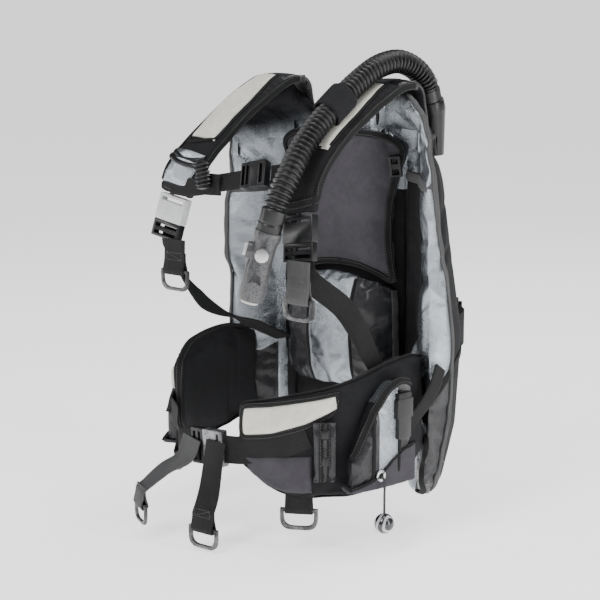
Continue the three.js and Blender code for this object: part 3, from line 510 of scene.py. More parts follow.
def shader(
    name, color, worn, rough, worn_rough, metallic=0.0, coat=0.0, sheen=0.0, bumps=(), wear=(18.0, 1.0),
    shade=None, extra=None, shine=0.5,
):
    """A material: two colours and roughnesses mixed by wear, with bumps (effect, space, distance, values)."""
    material = bpy.data.materials.new(name)
    material.use_nodes = True
    tree = material.node_tree
    bsdf = tree.nodes["Principled BSDF"]
    bsdf.inputs["Metallic"].default_value = metallic
    bsdf.inputs["Coat Weight"].default_value = coat
    bsdf.inputs["Coat Roughness"].default_value = 0.15
    bsdf.inputs["Sheen Weight"].default_value = sheen
    bsdf.inputs["Specular IOR Level"].default_value = shine
    place = tree.nodes.new("ShaderNodeTexCoord")
    spaces = {"object": place.outputs["Object"], "uv": place.outputs["UV"]}

    def use(effect_name, space, values):
        node = tree.nodes.new("ShaderNodeGroup")
        node.node_tree = EFFECTS[effect_name]
        tree.links.new(spaces[space], node.inputs["Vector"])
        for key, value in values.items():
            node.inputs[key].default_value = value
        return node

    fade = use("wear", "object", {"Scale": wear[0], "Amount": wear[1]}).outputs["Fac"]
    tint = tree.nodes.new("ShaderNodeMix")
    tint.data_type = "RGBA"
    tint.inputs["A"].default_value = (*color, 1)
    tint.inputs["B"].default_value = (*worn, 1)
    tree.links.new(fade, tint.inputs["Factor"])
    shown = tint.outputs["Result"]
    if shade:
        effect_name, space, values, low = shade
        node = use(effect_name, space, values)
        dark = tree.nodes.new("ShaderNodeMix")
        dark.data_type = "RGBA"
        dark.blend_type = "MULTIPLY"
        dark.inputs["Factor"].default_value = 1.0
        ramp = tree.nodes.new("ShaderNodeMapRange")
        ramp.inputs["To Min"].default_value = low
        output = node.outputs["Shade"] if "Shade" in node.outputs else node.outputs[0]
        tree.links.new(output, ramp.inputs["Value"])
        tree.links.new(shown, dark.inputs["A"])
        tree.links.new(ramp.outputs[0], dark.inputs["B"])
        shown = dark.outputs["Result"]
    if extra:
        shown = extra(tree, shown, spaces)
    tree.links.new(shown, bsdf.inputs["Base Color"])
    gloss = tree.nodes.new("ShaderNodeMapRange")
    gloss.inputs["To Min"].default_value = rough
    gloss.inputs["To Max"].default_value = worn_rough
    tree.links.new(fade, gloss.inputs["Value"])
    tree.links.new(gloss.outputs[0], bsdf.inputs["Roughness"])
    normal = None
    for effect_name, space, distance, values in bumps:
        node = use(effect_name, space, values)
        bump = tree.nodes.new("ShaderNodeBump")
        bump.inputs["Distance"].default_value = distance
        tree.links.new(node.outputs["Height"], bump.inputs["Height"])
        if normal:
            tree.links.new(normal, bump.inputs["Normal"])
        normal = bump.outputs["Normal"]
    if normal:
        tree.links.new(normal, bsdf.inputs["Normal"])
    return material


def painted_shade_by_height(bottom, top, dark, lean):
    """Painted shade: darkens a colour smoothly between two heights, which climb by lean towards +X, as a dark
    reflection painted into the colour.
    """

    def build(tree, color, spaces):
        x, _, z = axes(tree, spaces["object"])
        height = calc(tree, "SUBTRACT", z, calc(tree, "MULTIPLY", x, lean))
        ramp = tree.nodes.new("ShaderNodeMapRange")
        ramp.interpolation_type = "SMOOTHSTEP"
        ramp.inputs["From Min"].default_value = bottom
        ramp.inputs["From Max"].default_value = top
        tree.links.new(height, ramp.inputs["Value"])
        mix = tree.nodes.new("ShaderNodeMix")
        mix.data_type = "RGBA"
        tree.links.new(ramp.outputs[0], mix.inputs["Factor"])
        tree.links.new(color, mix.inputs["A"])
        mix.inputs["B"].default_value = (*dark, 1)
        return mix.outputs["Result"]

    return build


def speckle(tree, color, spaces):
    """Dark flecks moulded into grey plastic."""
    cells = tree.nodes.new("ShaderNodeTexVoronoi")
    cells.inputs["Scale"].default_value = 420.0
    tree.links.new(spaces["object"], cells.inputs["Vector"])
    ramp = tree.nodes.new("ShaderNodeMapRange")
    ramp.inputs["From Min"].default_value = 0.28
    ramp.inputs["From Max"].default_value = 0.42
    tree.links.new(cells.outputs["Distance"], ramp.inputs["Value"])
    mix = tree.nodes.new("ShaderNodeMix")
    mix.data_type = "RGBA"
    tree.links.new(ramp.outputs[0], mix.inputs["Factor"])
    mix.inputs["A"].default_value = (0.02, 0.02, 0.022, 1)
    tree.links.new(color, mix.inputs["B"])
    return mix.outputs["Result"]


def swirl(tree, color, spaces):
    """Silver veins through dark resin."""
    waves = tree.nodes.new("ShaderNodeTexWave")
    waves.inputs["Scale"].default_value = 22.0
    waves.inputs["Distortion"].default_value = 9.0
    waves.inputs["Detail"].default_value = 1.5
    tree.links.new(spaces["object"], waves.inputs["Vector"])
    ramp = tree.nodes.new("ShaderNodeMapRange")
    ramp.inputs["From Min"].default_value = 0.62
    ramp.inputs["From Max"].default_value = 0.75
    tree.links.new(waves.outputs["Fac"], ramp.inputs["Value"])
    mix = tree.nodes.new("ShaderNodeMix")
    mix.data_type = "RGBA"
    tree.links.new(ramp.outputs[0], mix.inputs["Factor"])
    tree.links.new(color, mix.inputs["A"])
    mix.inputs["B"].default_value = (0.5, 0.5, 0.52, 1)
    return mix.outputs["Result"]


FOLDS = ("crumple", "object", 0.03, {"Scale": 7.0, "Sharp": 0.0})
CREASES = ("crumple", "object", 0.0012, {"Scale": 24.0, "Sharp": 0.02})
CLOTH = ("weave", "object", 0.0003, {"Pitch": 0.0012})
COARSE = ("weave", "object", 0.0007, {"Pitch": 0.0021})
MOULDED = ("grain", "object", 0.0001, {"Scale": 1500.0})
TWILL = ("herringbone", "uv", 0.0005, {"Pitch": 0.0024, "Column": 0.0048})
TAPE_RIBS = ("ribs", "uv", 0.0004, {"Pitch": 0.0018})
MAT = {
    "silver": shader(
        "silver_coated_cloth", (0.46, 0.49, 0.525), (0.38, 0.41, 0.44), 0.2, 0.28, metallic=0.9,
        bumps=[FOLDS, CREASES, CLOTH],
    ),
    # Yoke cloth with painted shade: its silver darkens to near black between about 0.31 and 0.35 m up, a dark
    # reflection near the shoulders painted into the colour.
    "yoke": shader(
        "yoke_coated_cloth_painted_shade", (0.44, 0.47, 0.5), (0.36, 0.39, 0.42), 0.2, 0.28, metallic=0.88,
        bumps=[FOLDS, CREASES, CLOTH], extra=painted_shade_by_height(0.305, 0.345, (0.012, 0.012, 0.014), 0.25),
    ),
    "gloss": shader(
        "gloss_black_cloth", (0.012, 0.012, 0.014), (0.022, 0.022, 0.025), 0.2, 0.26, coat=0.3, shine=0.35,
        wear=(10.0, 0.5), bumps=[FOLDS, CREASES, CLOTH],
    ),
    "nylon": shader(
        "black_nylon_cloth", (0.006, 0.006, 0.007), (0.013, 0.013, 0.015), 0.7, 0.85, sheen=0.01,
        shine=0.25, bumps=[CREASES, CLOTH],
    ),
    "coarse_nylon": shader(
        "coarse_grey_nylon", (0.06, 0.056, 0.066), (0.085, 0.08, 0.092), 0.82, 0.95, sheen=0.02, shine=0.3,
        bumps=[CREASES, COARSE], shade=("weave", "object", {"Pitch": 0.0021}, 0.55),
    ),
    "pearl": shader(
        "cream_panel", (0.74, 0.72, 0.65), (0.62, 0.6, 0.53), 0.5, 0.62,
        bumps=[CREASES, ("grain", "object", 0.00015, {"Scale": 700.0})],
    ),
    "web": shader(
        "herringbone_webbing", (0.012, 0.012, 0.0125), (0.026, 0.0255, 0.025), 0.75, 0.9, sheen=0.01,
        shine=0.3, bumps=[TWILL], shade=("herringbone", "uv", {"Pitch": 0.0024, "Column": 0.0048}, 0.45),
    ),
    "web_grey": shader(
        "grey_webbing", (0.085, 0.085, 0.088), (0.13, 0.13, 0.13), 0.7, 0.85, sheen=0.02, shine=0.4,
        bumps=[TWILL], shade=("herringbone", "uv", {"Pitch": 0.0024, "Column": 0.0048}, 0.45),
    ),
    "binding": shader(
        "black_binding_tape", (0.006, 0.006, 0.0065), (0.014, 0.014, 0.0145), 0.7, 0.85, sheen=0.01,
        shine=0.3, bumps=[TAPE_RIBS], shade=("ribs", "uv", {"Pitch": 0.0018}, 0.5),
    ),
    "binding_grey": shader(
        "grey_binding_tape", (0.07, 0.07, 0.073), (0.11, 0.11, 0.11), 0.65, 0.8, sheen=0.02, shine=0.4,
        bumps=[TAPE_RIBS], shade=("ribs", "uv", {"Pitch": 0.0018}, 0.5),
    ),
    "thread": shader(
        "sewing_thread", (0.1, 0.1, 0.1), (0.16, 0.16, 0.16), 0.6, 0.7, sheen=0.03,
        bumps=[("grain", "object", 0.00008, {"Scale": 3000.0})],
    ),
    "plastic": shader(
        "moulded_black_plastic", (0.006, 0.006, 0.007), (0.014, 0.014, 0.015), 0.28, 0.4, coat=0.1,
        shine=0.35, bumps=[MOULDED], wear=(40.0, 0.8),
    ),
    "metal_look": shader(
        "dark_metallic_buckle", (0.1, 0.1, 0.105), (0.3, 0.3, 0.31), 0.22, 0.35, metallic=0.6,
        bumps=[MOULDED], wear=(60.0, 0.9),
    ),
    "pale_buckle": shader(
        "pale_moulded_buckle", (0.62, 0.63, 0.64), (0.5, 0.5, 0.5), 0.3, 0.45, bumps=[MOULDED],
        wear=(40.0, 0.8),
    ),
    "rubber": shader(
        "hose_rubber", (0.006, 0.006, 0.0065), (0.014, 0.014, 0.015), 0.3, 0.45, bumps=[MOULDED],
        wear=(30.0, 0.9),
    ),
    "ring": shader(
        "coated_ring_wire", (0.03, 0.03, 0.032), (0.22, 0.22, 0.22), 0.3, 0.4, metallic=0.5,
        bumps=[MOULDED], wear=(55.0, 0.8),
    ),
    "steel": shader(
        "satin_steel", (0.62, 0.62, 0.63), (0.45, 0.45, 0.46), 0.25, 0.38, metallic=1.0, bumps=[MOULDED],
        wear=(50.0, 0.8),
    ),
    "handset": shader(
        "speckled_grey_plastic", (0.05, 0.05, 0.053), (0.1, 0.1, 0.103), 0.32, 0.45, coat=0.15,
        bumps=[MOULDED], extra=speckle,
    ),
    "button": shader("cream_plastic", (0.78, 0.76, 0.7), (0.66, 0.64, 0.58), 0.35, 0.5, bumps=[MOULDED]),
    "resin": shader(
        "polished_resin", (0.012, 0.012, 0.014), (0.03, 0.03, 0.035), 0.1, 0.18, coat=0.6,
        bumps=[("grain", "object", 0.00003, {"Scale": 300.0})], extra=swirl,
    ),
    "cord": shader(
        "braided_cord", (0.02, 0.02, 0.022), (0.06, 0.06, 0.06), 0.75, 0.85, sheen=0.03,
        bumps=[("herringbone", "uv", 0.0003, {"Pitch": 0.0016, "Column": 0.0014})],
    ),
    "zip": shader("zip_teeth", (0.02, 0.02, 0.022), (0.06, 0.06, 0.06), 0.35, 0.5, bumps=[MOULDED]),
}


# ---------------------------------------------------------------- hard pieces
def merged_copy(name, node):
    """A copy of a CAD node's shape, its loose triangles joined."""
    bm = bmesh.new()
    bm.from_mesh(nodes[node].data)
    bmesh.ops.remove_doubles(bm, verts=bm.verts, dist=1e-5)
    mesh = bpy.data.meshes.new(name)
    bm.to_mesh(mesh)
    bm.free()
    mesh.materials.clear()
    obj = bpy.data.objects.new(name, mesh)
    scene.collection.objects.link(obj)
    return obj


def refined(node, material, bevel=0.0007, segments=2, angle=32, shade_angle=38):
    """Stands for a CAD node: its own shape, with its hard edges rounded."""
    obj = merged_copy(node + "_fine", node)
    bm = bmesh.new()
    bm.from_mesh(obj.data)
    bmesh.ops.dissolve_limit(bm, angle_limit=math.radians(0.6), verts=bm.verts, edges=bm.edges)
    bm.to_mesh(obj.data)
    bm.free()
    modifier = obj.modifiers.new("edges", "BEVEL")
    modifier.width = bevel
    modifier.segments = segments
    modifier.limit_method = "ANGLE"
    modifier.angle_limit = math.radians(angle)
    apply_all(obj)
    smooth(obj, shade_angle)
    return placed(obj, MAT[material], node_body[node], [node])


# ---------------------------------------------------------------- soft pieces
soft_jobs = []


def soft(name, node, voxel, inset, rounds, hold, cap, pressure, grow):
    """A sewn piece from its CAD solid, to be blown up as cloth by pressure and a share of growth.

    The solid is remeshed at the voxel size, smoothed for some rounds and set in by inset. Hold is a rule for
    the points that stay, as at a seam, and cap is how far the others may move.
    """
    obj = merged_copy(name, node)
    remesh = obj.modifiers.new("skin", "REMESH")
    remesh.mode = "VOXEL"
    remesh.voxel_size = voxel
    apply_all(obj)
    mesh = obj.data
    co = coords(obj)
    edges = np.array([e.vertices[:] for e in mesh.edges])
    degree = np.bincount(edges.ravel(), minlength=len(co))[:, None]
    # Each round smooths and then swells back, so that the steps of the remesh go and the size stays.
    for step in (0.6, -0.58) * rounds:
        total = np.zeros_like(co)
        for axis in range(3):
            total[:, axis] = np.bincount(edges[:, 0], co[edges[:, 1], axis], len(co))
            total[:, axis] += np.bincount(edges[:, 1], co[edges[:, 0], axis], len(co))
        co = co + (total / degree - co) * step
    co = co + (total / degree - co) * 0.3
    set_coords(obj, co)
    normals = np.array([v.normal[:] for v in mesh.vertices])
    co = co - normals * inset
    set_coords(obj, co)
    held = hold(co, normals) if hold else np.zeros(len(co), bool)
    group = obj.vertex_groups.new(name="hold")
    group.add([int(i) for i in np.flatnonzero(held)], 1.0, "REPLACE")
    cloth = obj.modifiers.new("cloth", "CLOTH")
    s = cloth.settings
    s.quality = 4
    s.mass = 0.2
    s.tension_stiffness = s.compression_stiffness = 12
    s.shear_stiffness = 5
    s.bending_stiffness = 0.3
    s.use_pressure = True
    s.uniform_pressure_force = pressure
    s.shrink_min = -grow
    s.effector_weights.gravity = 0
    if held.any():
        s.vertex_group_mass = "hold"
    cloth.collision_settings.use_collision = False
    soft_jobs.append({"obj": obj, "rest": co, "cap": cap, "held": held, "normals": normals})
    return obj


def simulate():
    """Runs every cloth at once, keeps how far each point moved within its cap, and refines the meshes."""
    scene.frame_start, scene.frame_end = 1, 20
    for number in range(1, 21):
        scene.frame_set(number)
    graph = bpy.context.evaluated_depsgraph_get()
    for job in soft_jobs:
        mesh = job["obj"].evaluated_get(graph).to_mesh()
        moved = np.empty(len(mesh.vertices) * 3, np.float32)
        mesh.vertices.foreach_get("co", moved)
        job["obj"].evaluated_get(graph).to_mesh_clear()
        step = moved.reshape(-1, 3) - job["rest"]
        far = np.linalg.norm(step, axis=1, keepdims=True)
        job["moved"] = job["rest"] + step * np.minimum(1, job["cap"] / np.maximum(far, 1e-9))
    scene.frame_set(1)
    for job in soft_jobs:
        obj = job["obj"]
        obj.modifiers.clear()
        if "moved" in job:
            set_coords(obj, job["moved"])
        else:
            free = ~job["held"][:, None]
            set_coords(obj, job["rest"] + job["normals"] * free * job["cap"] * 0.4)
        finer = obj.modifiers.new("finer", "SUBSURF")
        finer.levels = finer.render_levels = 1
        apply_all(obj)
        smooth(obj)


def paint(obj, *rules):
    """Gives each face the first material whose rule holds at its middle. Rules see millimetres."""
    mesh = obj.data
    middle = np.array([p.center[:] for p in mesh.polygons]) * 1000
    facing = np.array([p.normal[:] for p in mesh.polygons])
    index = np.zeros(len(middle), np.int32)
    for i, (material, rule) in reversed(list(enumerate(rules))):
        index[rule(middle, facing)] = i
    mesh.materials.clear()
    for material, _ in rules:
        mesh.materials.append(MAT[material])
    mesh.polygons.foreach_set("material_index", index)
    mesh.update()


def everywhere(middle, facing):
    """The rule of a piece's main cloth."""
    return np.ones(len(middle), bool)


def near_lines(lines, reach):
    """A rule for points within reach of any of the given lines."""
    points = np.vstack([spline(mm(*line), 60)[0] for line in lines])

    def rule(co, normals):
        out = np.zeros(len(co), bool)
        for p in points:
            out |= ((co - p) ** 2).sum(1) < reach * reach
        return out

    return rule


def either(*rules):
    """A rule that holds where any of the given ones does."""

    def rule(co, normals):
        return np.logical_or.reduce([part(co, normals) for part in rules])

    return rule


def rim_z(co, normals):
    """The upper and lower edges of an upright piece."""
    return np.abs(normals[:, 2]) > 0.6


def rim_x(co, normals):
    """The side edges of a shoulder strap."""
    return np.abs(normals[:, 0]) > 0.6


def rim_y(co, normals):
    """The edges all round a piece that faces forwards."""
    return np.abs(normals[:, 1]) < 0.5


def back_of_lumbar(co, normals):
    return co[:, 1] > -0.046


def finish_soft(obj, node):
    """Gives a sewn piece its body and hides the CAD node that it stands for."""
    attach(obj, node_body[node])
    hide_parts(node)


# Waist layout, as in the part: the inner face of each lobe in plan, in equal steps.
WAIST_PLAN = {
    "left": mm(
        (146, -64, 0), (153, -96, 0), (152, -136, 0), (147, -182, 0), (137, -222, 0), (114, -251, 0),
        (84, -269, 0), (52, -281, 0), (20, -289, 0),
    ),
    "right": mm((-146, -64, 0), (-163, -95, 0), (-169, -140, 0), (-163, -190, 0), (-146, -230, 0)),
}
STATION_COUNT = {"left": 28, "right": 16}
# How far outside that face each layer ends: the lobe, the weight pouch and the wall of its pocket.
LOBE = 0.014
POUCH_OUT = 0.0388
WALL_OUT = 0.0422
WAIST = {}
for side, s in SIDES.items():
    places, along = spline(WAIST_PLAN[side], STATION_COUNT[side] + 1)
    WAIST[side] = (places, np.stack([-along[:, 1], along[:, 0], 0 * along[:, 0]], 1) * s)


def on_waist(side, f, offset, z):
    """A point f stations along a lobe, that far outside its inner face, at a height in millimetres."""
    places, outs = WAIST[side]
    f = np.clip(f, 0, len(places) - 1.0001)
    i = int(f)
    p = (places[i] + outs[i] * offset) * (1 - f + i) + (places[i + 1] + outs[i + 1] * offset) * (f - i)
    return np.array([p[0], p[1], z / 1000])


def waist_line(side, start, end, offset, heights, count=30):
    """Points along a lobe between two stations, at heights spread evenly between them."""
    fs = np.linspace(start, end, count)
    zs = np.interp(np.linspace(0, 1, count), np.linspace(0, 1, len(heights)), heights)
    return np.array([on_waist(side, f, offset, z) for f, z in zip(fs, zs)])


def between_stations(side, low, high):
    """A rule for faces of a layer on a lobe that are nearest to one of the stations from low to high."""
    places = WAIST[side][0][:, :2] * 1000

    def rule(middle, facing):
        station = ((middle[:, None, :2] - places[None]) ** 2).sum(2).argmin(1)
        return (station >= low) & (station <= high)

    return rule


# Heights of each lobe's upper and lower edges in millimetres, from the hip to the buckle.
LOBE_TOP = {"left": (2, 12, 6, -6, -18, -30, -40), "right": (2, 10, 6, -2, -22)}
LOBE_FOOT = {"left": (-124, -146, -158, -162, -160, -154, -122), "right": (-120, -138, -146, -142, -118)}
# The left air cell's front edge, and the line of its outer binding tape. The right cell mirrors them.
CELL_EDGE = [
    (146, -50, -198), (160, -77, -178), (176, -83, -100), (185, -94, 27), (183, -97, 165), (180, -95, 262),
    (178, -97, 306), (168, -97, 338), (128, -70, 362),
]
CELL_TAPE = [
    (148, -36, -196), (166, -44, -150), (181, -42, -60), (187, -44, 27), (187, -56, 100), (186, -76, 190),
    (181, -82, 262), (177, -88, 306), (168, -90, 338), (128, -67, 362),
]


def sided(points, s):
    """Points of the left side, mirrored where s is -1."""
    return [(s * x, y, z) for x, y, z in points]


def beside_lobe(side):
    """A rule for points of a pouch that lie against its lobe."""
    places, outs = WAIST[side]

    def rule(co, normals):
        nearest = ((co[:, None, :2] - places[None, :, :2]) ** 2).sum(2).argmin(1)
        away = ((co - places[nearest]) * outs[nearest])[:, :2].sum(1)
        return away < LOBE + 0.006

    return rule


soft_obj = {}
for side, s in SIDES.items():
    seams = near_lines(
        [
            sided(CELL_EDGE, s), [(s * 99, -37, -170), (s * 99, -37, 260)],
            [(s * 99, 14, -100), (s * 99, 14, 260)], [(s * 127, -38, -170), (s * 127, -38, 300)],
        ],
        0.006,
    )
    soft_obj[f"air_cell_{side}"] = soft(
        f"air_cell_{side}_shell", f"air_cell_{side}", voxel=0.0055, inset=0.001, rounds=16, hold=seams,
        cap=0.006, pressure=3.0, grow=0.03,
    )
    soft_obj[f"waist_lobe_{side}"] = soft(
        f"waist_lobe_{side}_shell", f"waist_lobe_{side}", voxel=0.0045, inset=0.0008, rounds=8, hold=rim_z,
        cap=0.003, pressure=3.0, grow=0.02,
    )
    pouch_rim = either(rim_z, beside_lobe(side))
    soft_obj[f"weight_pouch_{side}"] = soft(
        f"weight_pouch_{side}_shell", f"weight_pouch_{side}", voxel=0.004, inset=0.001, rounds=10,
        hold=pouch_rim, cap=0.004, pressure=4.0, grow=0.03,
    )
    soft_obj[f"pouch_pocket_{side}"] = soft(
        f"pouch_pocket_{side}_shell", f"pouch_pocket_{side}", voxel=0.0022, inset=0, rounds=2, hold=None,
        cap=0.0004, pressure=0.2, grow=0.0,
    )
    soft_obj[f"shoulder_strap_{side}"] = soft(
        f"shoulder_strap_{side}_pad", f"shoulder_strap_{side}", voxel=0.0045, inset=0.0006, rounds=3,
        hold=rim_x, cap=0.003, pressure=4.0, grow=0.02,
    )
soft_obj["centre_panel"] = soft(
    "centre_panel_shell", "centre_panel", voxel=0.006, inset=0.0008, rounds=6, hold=rim_y, cap=0.003,
    pressure=3.0, grow=0.02,
)
soft_obj["upper_back_pad"] = soft(
    "upper_back_pad_shell", "upper_back_pad", voxel=0.0045, inset=0.0005, rounds=3, hold=rim_y, cap=0.006,
    pressure=4.0, grow=0.02,
)
lumbar_seams = near_lines(
    [[(x, y, z) for y, z in ((-64, -60), (-80, -30), (-87, 20), (-80, 60), (-64, 100))] for x in (-38, 38)],
    0.009,
)
soft_obj["lumbar_pad"] = soft(
    "lumbar_pad_shell", "lumbar_pad", voxel=0.005, inset=0.001, rounds=16,
    hold=either(lumbar_seams, back_of_lumbar), cap=0.008, pressure=5.0, grow=0.04,
)
soft_obj["zip_pocket"] = soft(
    "zip_pocket_shell", "zip_pocket", voxel=0.003, inset=0.0004, rounds=2, hold=rim_z, cap=0.003,
    pressure=3.0, grow=0.04,
)
soft_obj["hose_keeper"] = soft(
    "hose_keeper_wrap", "hose_keeper", voxel=0.0022, inset=0, rounds=2, hold=None, cap=0.0005, pressure=0.2,
    grow=0.0,
)
simulate()


# ---------------------------------------------------------------- panels of the two air cells
def tape_y(z):
    """Where the outer binding of an air cell runs at each height, front to back."""
    return np.interp(z, (-204, -100, 27, 100, 200, 262, 340), (-46, -46, -42, -54, -76, -82, -88))


def recess_shade_x(s, z):
    """Where the black lining of the recess beside the pad gives way to the silver front of a cell. On the
    left the black reaches out as far as the shadow in the recess, so it is partly painted shade.
    """
    return np.interp(z, (-40, 0, 40, 100, 235), (106, 112, 138, 152, 147)) if s > 0 else 112 + z * 0


def recess_point(s, z):
    """A point of the piping along the recess."""
    x = float(recess_shade_x(s, z))
    return s * x, -38 - max(0, x - 126) * 0.93, z


def yoke_foot(s, x):
    """The height at which the yoke meets the panels below it."""
    return 240 if s > 0 else 212 + (np.abs(x) - 98) * -0.06


for side, s in SIDES.items():
    cell = soft_obj[f"air_cell_{side}"]
    paint(
        cell,
        ("nylon", lambda m, n: (n[:, 1] > 0.3) | ((np.abs(m[:, 0]) > 166) & (m[:, 1] > tape_y(m[:, 2])))),
        ("gloss", lambda m, n, s=s: (m[:, 2] < -52 + (m[:, 1] + 94) * 0.6) & (np.abs(m[:, 0]) > 128)),
        # Black lining beside the pad, partly painted shade where it follows the shadow in the recess.
        (
            "nylon",
            lambda m, n, s=s: (np.abs(m[:, 0]) < recess_shade_x(s, m[:, 2])) & (m[:, 2] < yoke_foot(s, m[:, 0])),
        ),
        ("yoke", lambda m, n, s=s: m[:, 2] > yoke_foot(s, m[:, 0])), ("silver", everywhere),
    )
    finish_soft(cell, f"air_cell_{side}")
    tree = tree_of(cell)
    tape(
        f"cell_outer_binding_{side}", mm(*sided(CELL_TAPE, s)), tree, 0.009, 0.0022, MAT["binding_grey"],
        edge=0.0012,
    )
    if s < 0:
        tape(
            "cell_front_piping_right", mm(*sided(CELL_EDGE[2:8], s)), tree, 0.009, 0.0026,
            MAT["binding_grey"],
        )
    tape(
        f"cell_recess_piping_{side}",
        mm(*[recess_point(s, z) for z in (-30, 0, 20, 40, 70, 100, 170, 235)]), tree, 0.005, 0.002,
        MAT["binding"],
    )
    band_z = 240 if s > 0 else 212
    tape(
        f"yoke_band_{side}",
        mm(
            *sided(
                [(84, -40, band_z + 6), (126, -39, band_z + 2), (156, -68, band_z), (182, -94, band_z - 2)],
                s,
            )
        ),
        tree, 0.014, 0.002, MAT["web_grey"], edge=0.0016,
    )
    corner = [(178, -83, -62), (186, -66, -40), (186, -48, -24), (178, -18, -4), (160, 14, 10)]
    tape(
        f"corner_panel_binding_{side}", mm(*sided(corner, s)), tree, 0.010, 0.0022, MAT["binding"],
        edge=0.0014,
    )
    foot_edge = [(172, -80, -110), (158, -74, -172), (147, -49, -198), (130, -42, -202)]
    tape(f"corner_panel_edge_{side}", mm(*sided(foot_edge, s)), tree, 0.008, 0.0024, MAT["binding"])

# ---------------------------------------------------------------- back pads
centre = soft_obj["centre_panel"]
# The top of the centre panel takes the yoke cloth and its painted shade.
paint(centre, ("yoke", lambda m, n: m[:, 2] > 224), ("nylon", everywhere))
finish_soft(centre, "centre_panel")
neck = mm(
    (-82, -39, 266), (-58, -39, 300), (-56, -39, 336), (-36, -39, 323), (0, -39, 320), (36, -39, 323),
    (56, -39, 336), (58, -39, 300), (82, -39, 266),
)
for side, s in SIDES.items():
    joint_line = mm(
        *sided(
            [
                (96, -39, 250), (94, -39, 268), (76, -39, 285), (59, -39, 302), (57, -39, 322),
                (57, -39, 338),
            ],
            s,
        )
    )
    joint_tree = tree_of(centre, soft_obj[f"air_cell_{side}"])
    tape(f"yoke_joint_{side}", joint_line, joint_tree, 0.026, 0.003, MAT["yoke"], lift=0.0006)
    thin = mm(
        *sided(
            [(96, -39.5, 300), (110, -39.8, 300), (122, -40.8, 300), (134, -50.5, 300), (146, -69, 300)], s
        )
    )
    thin_places, thin_along = spline(thin, 30)
    thin_outs = np.cross(thin_along, np.array([0, 0, 1.0]))
    thin_outs = thin_outs * -np.sign(thin_outs[0, 1])
    placed(strip(f"yoke_lining_{side}", thin_places, thin_outs, 0.034, 0.003), MAT["yoke"], "vest")
tape("neck_binding", neck[1:-1], tree_of(centre), 0.012, 0.0024, MAT["binding"], edge=0.0014)

pad = soft_obj["upper_back_pad"]
paint(pad, ("coarse_nylon", everywhere))
finish_soft(pad, "upper_back_pad")
PAD_EDGE = [
    (0, 114), (30, 112), (60, 106), (90, 95), (87, 118), (82, 165), (86, 212), (97, 252), (107, 280),
    (93, 293), (57, 301),
]
edge_line = [(x, -53, z) for x, z in PAD_EDGE] + [(-x, -53, z) for x, z in PAD_EDGE[:0:-1]]
pad_tree = tree_of(pad)


def ladder_clip(name, centre, across, up_axis, wide, tall, thick, body):
    """A small two-bar clip: a frame with a middle bar, rounded all over."""
    bpy.ops.object.select_all(action="DESELECT")
    bpy.ops.mesh.primitive_cube_add(size=1)
    obj = bpy.context.object
    obj.name = name
    out = np.cross(across, up_axis)
    base = Matrix((across * wide, up_axis * tall, out * thick)).transposed().to_4x4()
    obj.matrix_world = Matrix.Identity(4)
    bm = bmesh.new()
    bm.from_mesh(obj.data)
    for x, cut_at in ((0, (-0.3, 0.3)), (1, (-0.38, -0.14, 0.14, 0.38))):
        for value in cut_at:
            normal = Vector((1, 0, 0)) if x == 0 else Vector((0, 1, 0))
            bmesh.ops.bisect_plane(
                bm, geom=bm.verts[:] + bm.edges[:] + bm.faces[:], plane_co=normal * value, plane_no=normal
            )
    windows = []
    for face in bm.faces:
        m = face.calc_center_median()
        if abs(m.x) < 0.3 and 0.14 < abs(m.y) < 0.38 and abs(face.normal.z) > 0.9:
            windows.append(face)
    pairs = [[f for f in windows if (f.calc_center_median().y > 0) == top] for top in (True, False)]
    for pair in pairs:
        edges = [list(f.edges) for f in pair]
        bmesh.ops.delete(bm, geom=pair, context="FACES_ONLY")
        bmesh.ops.bridge_loops(bm, edges=edges[0] + edges[1])
    bm.to_mesh(obj.data)
    bm.free()
    obj.data.transform(Matrix.Translation(Vector(centre)) @ base)
    outward(obj)
    round_edges = obj.modifiers.new("edges", "BEVEL")
    round_edges.width = thick * 0.22
    round_edges.segments = 3
    round_edges.limit_method = "ANGLE"
    apply_all(obj)
    smooth(obj, 40)
    return placed(obj, MAT["plastic"], body)


clip_at, clip_out = snapped(mm((98, -70, 262), (98.5, -70, 258), (99, -70, 254)), pad_tree, 0.0035)
clip_up = unit(np.array([-0.1, 0, 1.0]))
clip_across = unit(np.cross(clip_up, -clip_out[1]))
clip_up = np.cross(-clip_out[1], clip_across) * -1.0
ladder_clip("pad_strap_clip", clip_at[1], clip_across, clip_up, 0.017, 0.030, 0.006, "vest")
tape("pad_binding", mm(*edge_line), pad_tree, 0.010, 0.0026, MAT["binding"], closed=True, edge=0.0014)

lumbar = soft_obj["lumbar_pad"]
paint(lumbar, ("silver", lambda m, n: (np.abs(m[:, 0]) < 38) & (m[:, 1] < -50)), ("gloss", everywhere))
finish_soft(lumbar, "lumbar_pad")
lumbar_tree = tree_of(lumbar)
for k, x in (("left", 38), ("right", -38)):
    seam = mm((x, -62, -58), (x, -80, -30), (x, -87, 20), (x, -80, 60), (x, -66, 96))
    tape(f"lumbar_seam_{k}", seam, lumbar_tree, 0.0045, 0.0016, MAT["binding"], lift=0.0)
    side_edge = [(x * 2.48, -46, -50), (x * 2.6, -50, 10), (x * 2.55, -50, 52), (x * 2.4, -46, 84)]
    tape(f"lumbar_side_binding_{k}", mm(*side_edge), lumbar_tree, 0.010, 0.0024, MAT["binding_grey"])

